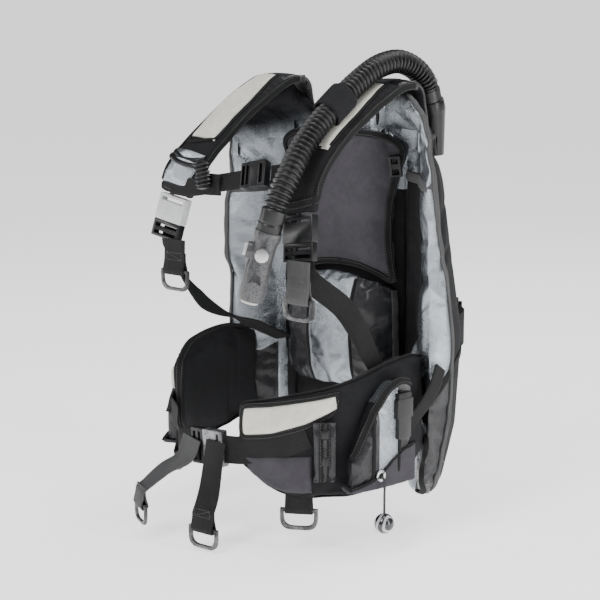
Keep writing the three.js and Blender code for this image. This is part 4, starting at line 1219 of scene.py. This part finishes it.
# ---------------------------------------------------------------- lobes, pouches and pockets
for side, s in SIDES.items():
    last = STATION_COUNT[side]
    lobe = soft_obj[f"waist_lobe_{side}"]
    paint(lobe, ("nylon", everywhere))
    finish_soft(lobe, f"waist_lobe_{side}")
    lobe_tree = tree_of(lobe)
    top = waist_line(side, 1.2, last - 0.4, LOBE / 2 - 0.0022, [z - 1 for z in LOBE_TOP[side]])
    foot = waist_line(side, last - 0.4, 1.2, LOBE / 2 - 0.0022, [z + 1 for z in LOBE_FOOT[side][::-1]])
    tape(
        f"lobe_binding_{side}", np.vstack([top, foot]), lobe_tree, 0.0105, 0.0024, MAT["binding"],
        edge=0.0016,
    )

    pouch = soft_obj[f"weight_pouch_{side}"]
    low_f, high_f = (9.8, 12.6) if s > 0 else (6.5, 9.0)
    paint(pouch, ("silver", between_stations(side, low_f, high_f)), ("gloss", everywhere))
    finish_soft(pouch, f"weight_pouch_{side}")
    pouch_tree = tree_of(pouch)
    span = (6.9, 15.3) if s > 0 else (5.7, 12.7)
    arc = waist_line(side, *span, POUCH_OUT - 0.002, (-16, -10, -20, -48, -106))
    tape(
        f"pouch_arc_binding_{side}", arc, pouch_tree, 0.011, 0.0026, MAT["binding"],
        body=f"weight_pouch_{side}", edge=0.0014,
    )
    for k, f in (("front", high_f + 0.5), ("rear", low_f - 0.5)):
        seam = waist_line(side, f, f + 0.2, POUCH_OUT, (-22, -146))
        tape(
            f"pouch_seam_{k}_{side}", seam, pouch_tree, 0.005, 0.0018, MAT["binding"],
            body=f"weight_pouch_{side}",
        )

    pocket = soft_obj[f"pouch_pocket_{side}"]
    paint(pocket, ("coarse_nylon", everywhere))
    finish_soft(pocket, f"pouch_pocket_{side}")
    pocket_tree = tree_of(pocket)
    rim = waist_line(side, span[0] - 0.3, span[1] + 0.3, WALL_OUT - 0.0015, (-99, -105, -121, -139, -147))
    tape(f"pocket_binding_{side}", rim, pocket_tree, 0.008, 0.0026, MAT["binding"], edge=0.0014)

# Front panel, lower panel and zip of the left lobe.
left_lobe = soft_obj["waist_lobe_left"]
left_tree = tree_of(left_lobe)
panel_top = waist_line("left", 16.2, 27.2, LOBE, (-24, -32, -40, -46))
panel_foot = waist_line("left", 16.2, 27.2, LOBE, (-40, -62, -76, -82))
patch("front_panel_left", panel_foot, panel_top, left_tree, MAT["pearl"], crown=0.003)
patch(
    "lower_panel_left", waist_line("left", 18.9, 26.6, LOBE, (-154, -156, -152, -128)),
    waist_line("left", 18.9, 27.0, LOBE, (-104, -108, -110)), left_tree, MAT["coarse_nylon"], crown=0.0025,
)
frame_line = np.vstack(
    [
        waist_line("left", 16.0, 27.4, LOBE, (-21, -29, -37, -43)),
        waist_line("left", 27.5, 27.6, LOBE, (-46, -80)),
        waist_line("left", 27.2, 16.0, LOBE, (-85, -79, -65, -42)),
    ]
)
tape(
    "front_panel_border_left", frame_line[::3], left_tree, 0.007, 0.0022, MAT["binding"], closed=True,
    edge=0.0012,
)
right_tree = tree_of(soft_obj["waist_lobe_right"])
patch(
    "front_panel_right", waist_line("right", 9.4, 15.4, LOBE, (-52, -60, -62)),
    waist_line("right", 9.4, 15.4, LOBE, (-20, -22, -32)), right_tree, MAT["pearl"], crown=0.003,
)
zip_pocket = soft_obj["zip_pocket"]
paint(zip_pocket, ("gloss", everywhere))
finish_soft(zip_pocket, "zip_pocket")
zip_tree = tree_of(zip_pocket, left_lobe)
zip_line = waist_line("left", 17.6, 17.6, 0.0236, (-58, -138), 40)
tape("zip_tape", zip_line, zip_tree, 0.016, 0.0012, MAT["binding"], edge=0.0018)


def zip_teeth():
    """Two rows of small teeth that meet in the middle of the tape."""
    places, normals = snapped(zip_line, zip_tree, 0.0014)
    along = tangents(places)
    side = unit(np.cross(along, normals))
    dist = np.concatenate([[0], np.cumsum(np.linalg.norm(np.diff(places, axis=0), axis=1))])
    verts, faces = [], []
    for n, at in enumerate(np.arange(0.002, dist[-1] - 0.002, 0.0014)):
        place, out, across, run = [
            np.array([np.interp(at, dist, a[:, c]) for c in range(3)])
            for a in (places, normals, side, along)
        ]
        k = 1 if n % 2 else -1
        base = len(verts)
        for c in (0, 1):
            for a, b in ((-0.0005, 0), (0.0024, 0), (0.0024, 0.0009), (-0.0005, 0.0009)):
                verts.append(place + across * k * a + out * b + run * (c - 0.5) * 0.0011)
        quads = [(0, 1, 2, 3), (7, 6, 5, 4), (0, 4, 5, 1), (1, 5, 6, 2), (2, 6, 7, 3), (3, 7, 4, 0)]
        faces += [tuple(base + i for i in q) for q in quads]
    obj = new_object("zip_teeth", verts, faces)
    outward(obj)
    return placed(obj, MAT["zip"], "vest")


zip_teeth()
for name in ("zip_slider_upper", "zip_slider_lower"):
    refined(name, "plastic", 0.0006)

# ---------------------------------------------------------------- shoulder straps
STRAP_PATH = {
    "left": mm(
        (99, -46, 370.5), (99, -74, 371), (95, -114, 356), (91, -160, 331), (88, -202, 302),
        (88, -236, 270), (92, -256, 240), (96, -261, 215),
    ),
    "right": mm(
        (-99, -46, 370.5), (-101, -74, 371), (-102, -114, 356), (-103, -160, 332), (-105, -202, 304),
        (-110, -238, 275), (-117, -257, 248), (-121.5, -262.5, 222),
    ),
}
STRAP_LOOKS = [
    (0, 0.2, 1), (0, -0.1, 1), (0, -0.45, 1), (0, -0.6, 0.8), (0, -0.75, 0.7), (0, -0.9, 0.5),
    (0, -0.95, 0.3), (0, -0.97, 0.2),
]
for side, s in SIDES.items():
    strap = soft_obj[f"shoulder_strap_{side}"]
    paint(strap, ("gloss", lambda m, n: m[:, 1] > -90), ("nylon", everywhere))
    finish_soft(strap, f"shoulder_strap_{side}")
    strap_tree = tree_of(strap)
    places, along = spline(STRAP_PATH[side], 60)
    looks = unit(blended(STRAP_LOOKS, 60))
    looks = unit(looks - along * (looks * along).sum(1, keepdims=True))
    across = np.cross(along, looks)
    first, stop = (10, 42) if s > 0 else (8, 44)
    face = places + looks * 0.007
    half = np.interp(np.arange(60), (first, first + 14, stop), (0.013, 0.022, 0.021))[:, None]
    edge_a, edge_b = (face - across * half)[first:stop], (face + across * half)[first:stop]
    patch(
        f"strap_panel_{side}", edge_a[::3], edge_b[::3], strap_tree, MAT["pearl"], crown=0.0035,
        thick=0.0018, nv=18,
    )
    outline = np.vstack([edge_a[::4], edge_b[::-1][::4]])
    tape(f"strap_piping_{side}", outline, strap_tree, 0.005, 0.003, MAT["binding"], closed=True)
    rim = np.vstack([(places - across * 0.0305)[3:57:4], (places + across * 0.0305)[56:3:-4]])
    tape(f"strap_binding_{side}", rim, strap_tree, 0.011, 0.003, MAT["binding"], edge=0.0014)
    flap = mm(
        *sided(
            [
                (99, -66, 373), (99, -48, 372), (99, -37, 363), (99, -32, 345), (99, -26, 320),
                (99, -25, 300),
            ],
            s,
        )
    )
    flap_places, flap_along = spline(flap, 30)
    flap_outs = np.cross(flap_along, np.array([1.0, 0, 0]))
    flap_outs = flap_outs * np.sign(flap_outs[-1, 1])
    placed(
        strip(f"shoulder_flap_{side}", flap_places, flap_outs, 0.060, 0.005, swell=0.0015), MAT["gloss"],
        "vest",
    )
    if s > 0:
        continue
    sleeve_a = (face - across * 0.025)[stop + 2 : 58]
    sleeve_b = (face + across * 0.025)[stop + 2 : 58]
    patch(
        f"strap_sleeve_{side}", sleeve_a[::2], sleeve_b[::2], strap_tree, MAT["silver"], crown=0.003,
        thick=0.002, nu=20, nv=12,
    )
    for k, (where, bulge, lift) in enumerate(((stop + 3, 0.010, 0.004), (stop + 5, 0.008, 0.006))):
        mid = face[where] + looks[where] * lift
        bow = [
            mid - across[where] * 0.026 - looks[where] * 0.004,
            mid - across[where] * 0.022 + along[where] * bulge * 0.6,
        ]
        bow += [mid + along[where] * bulge, mid + across[where] * 0.022 + along[where] * bulge * 0.6]
        bow += [mid + across[where] * 0.026 - looks[where] * 0.004]
        places_k, along_k = spline(bow, 30)
        outs = np.tile(looks[where], (30, 1))
        placed(
            strip(f"strap_loop_{side}_{k}", places_k, outs, 0.007, 0.004, swell=0.0012), MAT["plastic"],
            "vest",
        )


# ---------------------------------------------------------------- webbing
Z = np.array([0, 0, 1.0])
# From the middle of a side-release buckle to the middle of the webbing behind it.
BUCKLE_BACK = 0.0065 - 0.001 + 0.0004 + 0.0012


def webbing(name, points, sides, width, thick=0.0022, sag=0.0):
    """Woven strap along points, its width along the given side vectors."""
    pts = np.asarray(points, float)
    count = max(8, int(length_of(pts) / 0.005))
    places, _ = spline(pts, count)
    k = np.concatenate([[0], np.cumsum(np.linalg.norm(np.diff(pts, axis=0), axis=1))])
    where = np.linspace(0, k[-1], count)
    side = unit(np.stack([np.interp(where, k, np.asarray(sides, float)[:, c]) for c in range(3)], 1))
    along = tangents(places)
    side = unit(side - along * (side * along).sum(1, keepdims=True))
    out = np.cross(side, along)
    wave = np.sin(where * 55.0 + len(name)) * sag
    places = places + out * wave[:, None]
    return strip(name, places, out, width, thick, swell=0.0001)


def side_from(points, looks):
    """The side vectors of webbing whose face looks the given way at each point."""
    along = tangents(np.asarray(points, float))
    return unit(np.cross(along, np.asarray(looks, float)))


def fold_round(place, look, top, tall_behind=0.026):
    """Places of webbing that comes down in front of a ring's bar, goes round it and up behind."""
    p, n, z = np.asarray(place), np.asarray(look, float), np.array([0, 0, 1.0])
    rows = [
        (0.0013, 0.015), (0.0032, 0.007), (0.0049, 0.0), (0.0035, -0.0035), (0.0, -0.0049),
        (-0.0035, -0.0035), (-0.0049, 0.0), (-0.0032, 0.007), (-0.0014, 0.014), (-0.0013, tall_behind),
    ]
    return [top] + [p + n * a + z * b for a, b in rows]


RINGS = {
    "pocket_ring_left": (point(100.098, -268.641, -181), np.array([0.487, -0.873, 0])),
    "pocket_ring_right": (point(-157.843, -221.038, -153), np.array([-0.906, -0.422, 0])),
    "tail_ring_left": (point(2, -350, -207), np.array([0, -1.0, 0])),
    "tail_ring_right": (point(-104, -360, -190), np.array([-0.498, -0.867, 0])),
    "chest_ring_left": (point(109.818, -280.972, 105.48), np.array([0, -1.0, 0])),
    "chest_ring_right": (point(-107.318, -282.472, 120.48), np.array([0, -1.0, 0])),
}
for name in RINGS:
    refined(name, "ring", 0.0021, 4, shade_angle=60)


def box_stitch(name, centre, across, up_axis, out, wide, tall, body):
    """The sewn square with a cross that holds webbing down."""
    a, b = across * wide / 2, up_axis * tall / 2
    corners = [centre - a - b, centre + a - b, centre + a + b, centre - a + b, centre - a - b, centre + a + b]
    places = np.vstack(
        [np.linspace(p, q, 12)[:-1] for p, q in zip(corners[:-1], corners[1:])] + [corners[-1][None]]
    )
    placed(stitch_row(name, places, np.tile(out, (len(places), 1))), MAT["thread"], body)


# The waist buckle: its middle, and the directions along the belt and out of its face.
origin = point(-32.008, -305.019, -107.965)
belt = unit(np.array([1, -0.1, 0.08]))
belt_out = unit(np.array([-0.1, -1, 0]))
# How each waist tail leaves its buckle, sags, and comes down to its ring.
TAIL_HANG = {
    "left": mm((0, -6, -18), (0, 0, 0), (0, 6, 26)),
    "right": mm((-6, -8, -14), (-2, -2, 6), (6, 6, 20)),
}
for side, s in SIDES.items():
    # Tail under each shoulder buckle.
    ring_at, look = RINGS[f"chest_ring_{side}"]
    top = ring_at + Z * (0.052 if s > 0 else 0.044)
    across = np.cross(look, Z)
    body = f"shoulder_clip_{side}"
    pts = fold_round(ring_at, look, top)
    tail = webbing(f"chest_tail_{side}_web", pts, [across] * len(pts), 0.037)
    placed(tail, MAT["web_grey" if s > 0 else "web"], body, [f"chest_tail_{side}"])
    box_stitch(
        f"chest_tail_stitches_{side}", ring_at + Z * 0.021 + look * 0.0026, across, Z, look, 0.028, 0.010,
        body,
    )
    # Tail under the waist buckle.
    ring_at, look = RINGS[f"tail_ring_{side}"]
    across = np.cross(look, Z)
    reach = 0.0277 if s > 0 else -0.02136
    root = origin + belt * reach + belt_out * (0.0081 if s > 0 else 0.0071)
    across = across * np.sign(across @ belt)
    lead, sag, rise = TAIL_HANG[side]
    pts = [root + Z * 0.011, root + lead, (root + ring_at + Z * 0.004) / 2 + sag, ring_at + Z * 0.008 + rise]
    pts += fold_round(ring_at, look, ring_at + Z * 0.018 + look * 0.0022)
    body = "vest" if s > 0 else "waist_clip"
    middle_side = unit(belt + across)
    tail = webbing(
        f"waist_tail_{side}_web", pts, [belt, belt, middle_side] + [across] * (len(pts) - 3), 0.037
    )
    placed(tail, MAT["web" if s > 0 else "web_grey"], body, [f"waist_tail_{side}"])
    box_stitch(
        f"waist_tail_stitches_{side}", ring_at + Z * 0.022 + look * 0.0028, across, Z, look, 0.028, 0.010,
        body,
    )
    # Tab of the pocket ring, sewn under the lobe's edge.
    ring_at, look = RINGS[f"pocket_ring_{side}"]
    across = np.cross(look, Z)
    pts = fold_round(ring_at, look, ring_at + Z * 0.034)
    tab = webbing(f"pocket_tab_{side}", pts, [across] * len(pts), 0.037, thick=0.0025)
    placed(tab, MAT["web"], "vest", ())


def clip_point(seat, x_axis, z_axis, x, z):
    """A point of a shoulder clip: x millimetres along it, and z metres out of its face."""
    return seat + x_axis * x / 1000 + z_axis * z


# Hip webs, from behind each shoulder clip to the hip.
for side, s in SIDES.items():
    along = unit(np.array([s * 0.16, -0.2, -0.97]))
    look = unit(np.array([0, -0.97, 0.2]))
    seat = STRAP_PATH[side][-1] + along * (0.038 * 0.95 + 0.0015)
    x_axis = -along
    z_axis = unit(look - x_axis * (look @ x_axis))
    behind = -(BUCKLE_BACK + 0.0009)
    if s > 0:
        end = on_waist("left", 7, -0.0028, -32)
        middle, look_end = point(132, -210, 84), (1, 0, 0)
    else:
        end = point(-115, -42.2, -12)
        middle, look_end = point(-134, -200, 66), (0, -1, 0.1)
    low = end * 0.6 + middle * 0.4
    held = [
        clip_point(seat, x_axis, z_axis, x, behind - z) for x, z in ((-8, 0), (-24, 0.0004), (-42, 0.006))
    ]
    pts = np.array(held + [middle, low, end])
    looks = [look, look, (s * 0.3, -0.95, 0.3), (s * 0.8, -0.7, 0), look_end, look_end]
    hip = webbing(f"hip_web_{side}_strap", pts, side_from(pts, looks), 0.030, sag=0.0004)
    placed(hip, MAT["web"], "vest", [f"hip_web_{side}"])

# Chest strap.
chest_at, chest_along = point(18.332, -264.828, 259.976), np.array([0.974, 0.118, 0.193])
EDGES = {
    "right": mm((-85.553, -270.344, 236.415), (-123.537, -269.356, 236.258)),
    "left": mm((55.033, -253.278, 264.275), (77.055, -252.469, 263.688)),
}
chest_look = unit(np.array([0.0, -0.93, 0.36]))
chest_look = unit(chest_look - chest_along * (chest_look @ chest_along))
chest_back = -BUCKLE_BACK - 0.0006
for side, x in (("right", -0.006), ("left", 0.02475)):
    start = chest_at + chest_along * x + chest_look * chest_back
    edge, place = EDGES[side]
    pts = np.array([start, start * 0.5 + edge * 0.5, edge, place])
    strap = webbing(
        f"chest_web_{side}_strap", pts,
        side_from(pts, [chest_look, chest_look, (0, -0.94, 0.33), (0, -0.95, 0.3)]), 0.025, sag=0.0003,
    )
    placed(strap, MAT["web"], "vest", [f"chest_web_{side}"])
# A keeper fold of the chest strap beside the right shoulder strap, and the roll that hangs from it.
fold_at = EDGES["right"][0] + chest_along * 0.036
pts = [
    fold_at + chest_look * 0.004 + Z * 0.013, fold_at + chest_look * 0.0062,
    fold_at + chest_look * 0.004 - Z * 0.016,
]
loop = webbing("chest_strap_loop", pts, [chest_along] * 3, 0.030, thick=0.0028)
placed(loop, MAT["web"], "vest", ())


def ribbed_roll(name, foot, top, radius, ribs=7):
    """A short ribbed tube with domed ends."""
    axis = unit(top - foot)
    first = unit(np.cross(axis, np.array([0, 1.0, 0])))
    second = np.cross(axis, first)
    rings = []
    steps = ribs * 8
    a = np.linspace(0, 2 * np.pi, 28, endpoint=False)[:, None]
    for i in range(steps + 1):
        t = i / steps
        r = radius * (0.9 + 0.1 * math.sin(t * ribs * 2 * math.pi)) * min(1.0, 0.45 + 9 * min(t, 1 - t))
        rings.append(foot + (top - foot) * t + (np.cos(a) * first + np.sin(a) * second) * r)
    return smooth(loft(name, rings), 50)


roll_foot = point(-52, -283, 238)
roll = ribbed_roll("chest_strap_roll", roll_foot, roll_foot + Z * 0.038 - chest_along * 0.005, 0.011)
placed(roll, MAT["plastic"], "vest", ())


def on_belt(x, z=0.0):
    """A point of the waist buckle: x millimetres along the belt, and z metres out of its face."""
    return origin + belt * x / 1000 + belt_out * z


# Belt: the station where each side leaves its pocket, and its heights from there in millimetres.
BELT = {"left": (19.4, (-74, -96, -104)), "right": (13.4, (-78, -86, -92))}
for side, s in SIDES.items():
    start, heights = BELT[side]
    last = STATION_COUNT[side]
    lobe_part = waist_line(side, start, last - 0.3, LOBE + 0.0016 + 0.001, heights, 14)
    if s > 0:
        rest = [on_belt(36.7 + 6), on_belt(36.7)]
    else:
        rest = [
            point(-122, -264, -95), on_belt(-66, -BUCKLE_BACK - 0.003), on_belt(-44, -BUCKLE_BACK - 0.0004),
            on_belt(-8, -BUCKLE_BACK),
        ]
    pts = np.vstack([lobe_part, rest])
    sides = [Z] * len(lobe_part) + [unit(np.cross(belt_out, belt)) * -1.0] * len(rest)
    sides = [v if v[2] > 0 else -v for v in np.array(sides, float)]
    strap = webbing(f"waist_web_{side}_strap", pts, sides, 0.038, sag=0.0003)
    placed(strap, MAT["web"], "vest", [f"waist_web_{side}"])
    pocket_start = {"left": 6.8, "right": 5.6}[side] - 1.7
    web_off = {"left": 1.3, "right": 3.0}[side] / 1000
    pts = np.vstack(
        [
            mm((s * 188.5, -72, -8), (s * 190, -92, -38)),
            on_waist(side, pocket_start, LOBE + web_off + 0.0012, -84)[None],
        ]
    )
    strap = webbing(
        f"side_web_{side}_strap", pts, side_from(pts, [(s, -0.02, 0), (s, -0.02, 0), (s, 0.02, 0)]), 0.025
    )
    placed(strap, MAT["web"], "vest", [f"side_web_{side}"])

# Tank band and handle.
TANK = 0.092
band_y = -0.008 - 0.0004 - 0.0013
half_x, radius = 0.059, TANK + 0.0006 + 0.0013
start_angle = math.asin(half_x / radius)
angles = np.linspace(start_angle, 2 * math.pi - start_angle, 90)
loop_pts = [(radius * math.sin(a), TANK - radius * math.cos(a), 0) for a in angles]
straight = [(x, band_y, 0) for x in np.linspace(-half_x, half_x, 26)]
band_pts = np.array(
    straight
    + [(half_x, y, 0) for y in np.linspace(band_y + 0.004, loop_pts[0][1] - 0.003, 4)]
    + loop_pts
    + [(-half_x, y, 0) for y in np.linspace(loop_pts[-1][1] - 0.003, band_y + 0.004, 4)]
)
band_along = tangents(band_pts, closed=True)
tank_band = strip(
    "tank_band_web", band_pts, np.cross(band_along, Z) * -1.0, 0.050, 0.0024, swell=0.0001, closed=True
)
placed(tank_band, MAT["web"], "vest", ["tank_band"])
HANDLE = mm((-34, 1.7, 193), (-28, 6, 205), (0, 26, 217), (28, 6, 205), (34, 1.7, 193))
handle = webbing(
    "carry_handle_web", HANDLE,
    side_from(HANDLE, [(0, 1, 0), (0, 1, 0.2), (0, 1, 0.5), (0, 1, 0.2), (0, 1, 0)]), 0.024, thick=0.0024,
)
placed(handle, MAT["web"], "vest", ["carry_handle"])

# ---------------------------------------------------------------- hose, inflator and dump pull
# The middle line of the hose, from the elbow over the left shoulder to the handset.
HOSE = mm(
    (106, 12, 346), (105, 4, 368), (103, -16, 388), (100, -52, 402), (98, -96, 398), (96, -140, 379),
    (94, -184, 353), (92, -226, 323), (93, -260, 293), (95, -288, 262), (92, -306, 230), (84, -310, 198),
)


def corrugated(name, points, rib=0.0074, sides=36):
    """A ribbed hose with a smooth cuff at each end."""
    line, _ = spline(points, 400)
    total = length_of(line)
    count = int(total / rib * 8)
    places, along = spline(points, count)
    s = np.linspace(0, total, count)
    phase = (s / rib) % 1.0
    bead = np.clip(np.sin(phase * 2 * np.pi) * 1.25, -1, 1)
    radius = 0.0142 + 0.0022 * bead
    cuff = (s < 0.016) | (s > total - 0.028)
    radius = np.where(cuff, 0.0163, radius)
    radius = np.where(np.abs(s - 0.018) < 0.0015, 0.0148, radius)
    radius = np.where(np.abs(s - total + 0.012) < 0.0018, 0.0153, radius)
    side = np.array([1.0, 0, 0])
    rings = []
    for place, t, r in zip(places, along, radius):
        side = unit(side - t * (side @ t))
        other = np.cross(t, side)
        a = np.linspace(0, 2 * np.pi, sides, endpoint=False)[:, None]
        rings.append(place + (np.cos(a) * side + np.sin(a) * other) * r)
    return smooth(loft(name, rings), 60), line


hose, hose_line = corrugated("inflator_hose_ribbed", HOSE)
placed(hose, MAT["rubber"], "vest", ["inflator_hose"])
keeper = soft_obj["hose_keeper"]
paint(keeper, ("nylon", everywhere))
finish_soft(keeper, "hose_keeper")
refined("hose_elbow", "plastic", 0.001, 3)
refined("inflator_body", "handset", 0.0009, 3)
refined("inflate_button", "pale_buckle", 0.0012, 3)
refined("deflate_button", "button", 0.0012, 3)
refined("hose_nipple", "steel", 0.0007, 2)

# The pull cord, out of its grommet and down to the knob.
CORD = mm(
    (187.206, -203.843, -133.6), (190.837, -204.551, -133.9), (194.272, -205.221, -140),
    (194.272, -205.221, -156), (194.272, -205.221, -181.6),
)


def round_cord(name, points, radius, count, sides=16):
    """A braided cord. Returns it with the places along its middle."""
    places, along = spline(points, count)
    side = np.array([0, 0, 1.0])
    rings = []
    for i, (place, t) in enumerate(zip(places, along)):
        side = unit(side - t * (side @ t)) if abs(side @ t) < 0.999 else side
        other = np.cross(t, side)
        a = np.linspace(0, 2 * np.pi, sides, endpoint=False)[:, None] + i * 0.12
        bulge = 1 + 0.05 * np.cos(4 * a)
        rings.append(place + (np.cos(a) * side + np.sin(a) * other) * radius * bulge)
    return smooth(loft(name, rings)), places


cord, cord_line = round_cord("pull_cord_braid", CORD, 0.0017, 60)
cord.data.materials.append(MAT["cord"])
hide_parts("pull_cord")
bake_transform(cord)
knob = merged_copy("pull_knob_ball", "pull_knob")
finer = knob.modifiers.new("finer", "SUBSURF")
finer.levels = finer.render_levels = 2
apply_all(knob)
smooth(knob)
placed(knob, MAT["resin"], "pull_knob", ["pull_knob"])
refined("cord_grommet", "steel", 0.0006, 2)

# ---------------------------------------------------------------- buckles, plate and valves
for name in (
    "shoulder_buckle_left", "shoulder_clip_left", "waist_buckle_male", "chest_buckle_female",
    "chest_buckle_male", "pouch_buckle_left", "pouch_buckle_right", "shoulder_clip_right",
):
    refined(name, "plastic", 0.0009, 3)
refined("shoulder_buckle_right", "pale_buckle", 0.0009, 3)
refined("waist_buckle_female", "metal_look", 0.0009, 3)
refined("backpack_plate", "plastic", 0.0014, 3)
refined("cam_buckle_base", "plastic", 0.001, 3)
refined("cam_lever", "plastic", 0.001, 3)
refined("rear_dump_valve", "plastic", 0.0012, 3)


# ---------------------------------------------------------------- stage and light
def stage_floor(low):
    """A wide pale floor."""
    far = 60.0
    obj = new_object(
        "stage_floor", [(-far, -far, low), (far, -far, low), (far, far, low), (-far, far, low)],
        [(0, 1, 2, 3)],
    )
    material = bpy.data.materials.new("stage")
    material.use_nodes = True
    bsdf = material.node_tree.nodes["Principled BSDF"]
    bsdf.inputs["Base Color"].default_value = (0.93, 0.93, 0.93, 1)
    bsdf.inputs["Roughness"].default_value = 0.9
    bsdf.inputs["Emission Color"].default_value = (1, 1, 1, 1)
    bsdf.inputs["Emission Strength"].default_value = 1.25
    obj.data.materials.append(material)


cad_floor = min(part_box(name)[0][2] for name in ("tail_ring_left", "tail_ring_right", "pull_knob"))
stage_floor(cad_floor - 0.004)
world = bpy.data.worlds.new("studio")
scene.world = world
world.use_nodes = True
world.node_tree.nodes["Background"].inputs[0].default_value = (0.92, 0.94, 1, 1)
world.node_tree.nodes["Background"].inputs[1].default_value = 0.13


def softbox(name, azimuth, elevation, distance, power, size):
    """A rectangular lamp that faces the vest."""
    a, e = math.radians(azimuth), math.radians(elevation)
    direction = Vector((math.sin(a) * math.cos(e), -math.cos(a) * math.cos(e), math.sin(e)))
    light = bpy.data.objects.new(name, bpy.data.lights.new(name, "AREA"))
    scene.collection.objects.link(light)
    light.location = TARGET + direction * distance
    light.rotation_euler = (-direction).to_track_quat("-Z", "Y").to_euler()
    light.data.shape = "RECTANGLE"
    light.data.size, light.data.size_y = size
    light.data.energy = power


softbox("key", 2, 40, 2.2, 25, (0.6, 1.2))
softbox("side", 92, 14, 1.9, 20, (0.2, 1.8))
softbox("fill", -58, 14, 2.3, 13, (0.4, 1.7))
softbox("rim", 168, 48, 2.4, 26, (1.4, 1.0))
softbox("top", 40, 80, 2.0, 14, (1.0, 1.0))
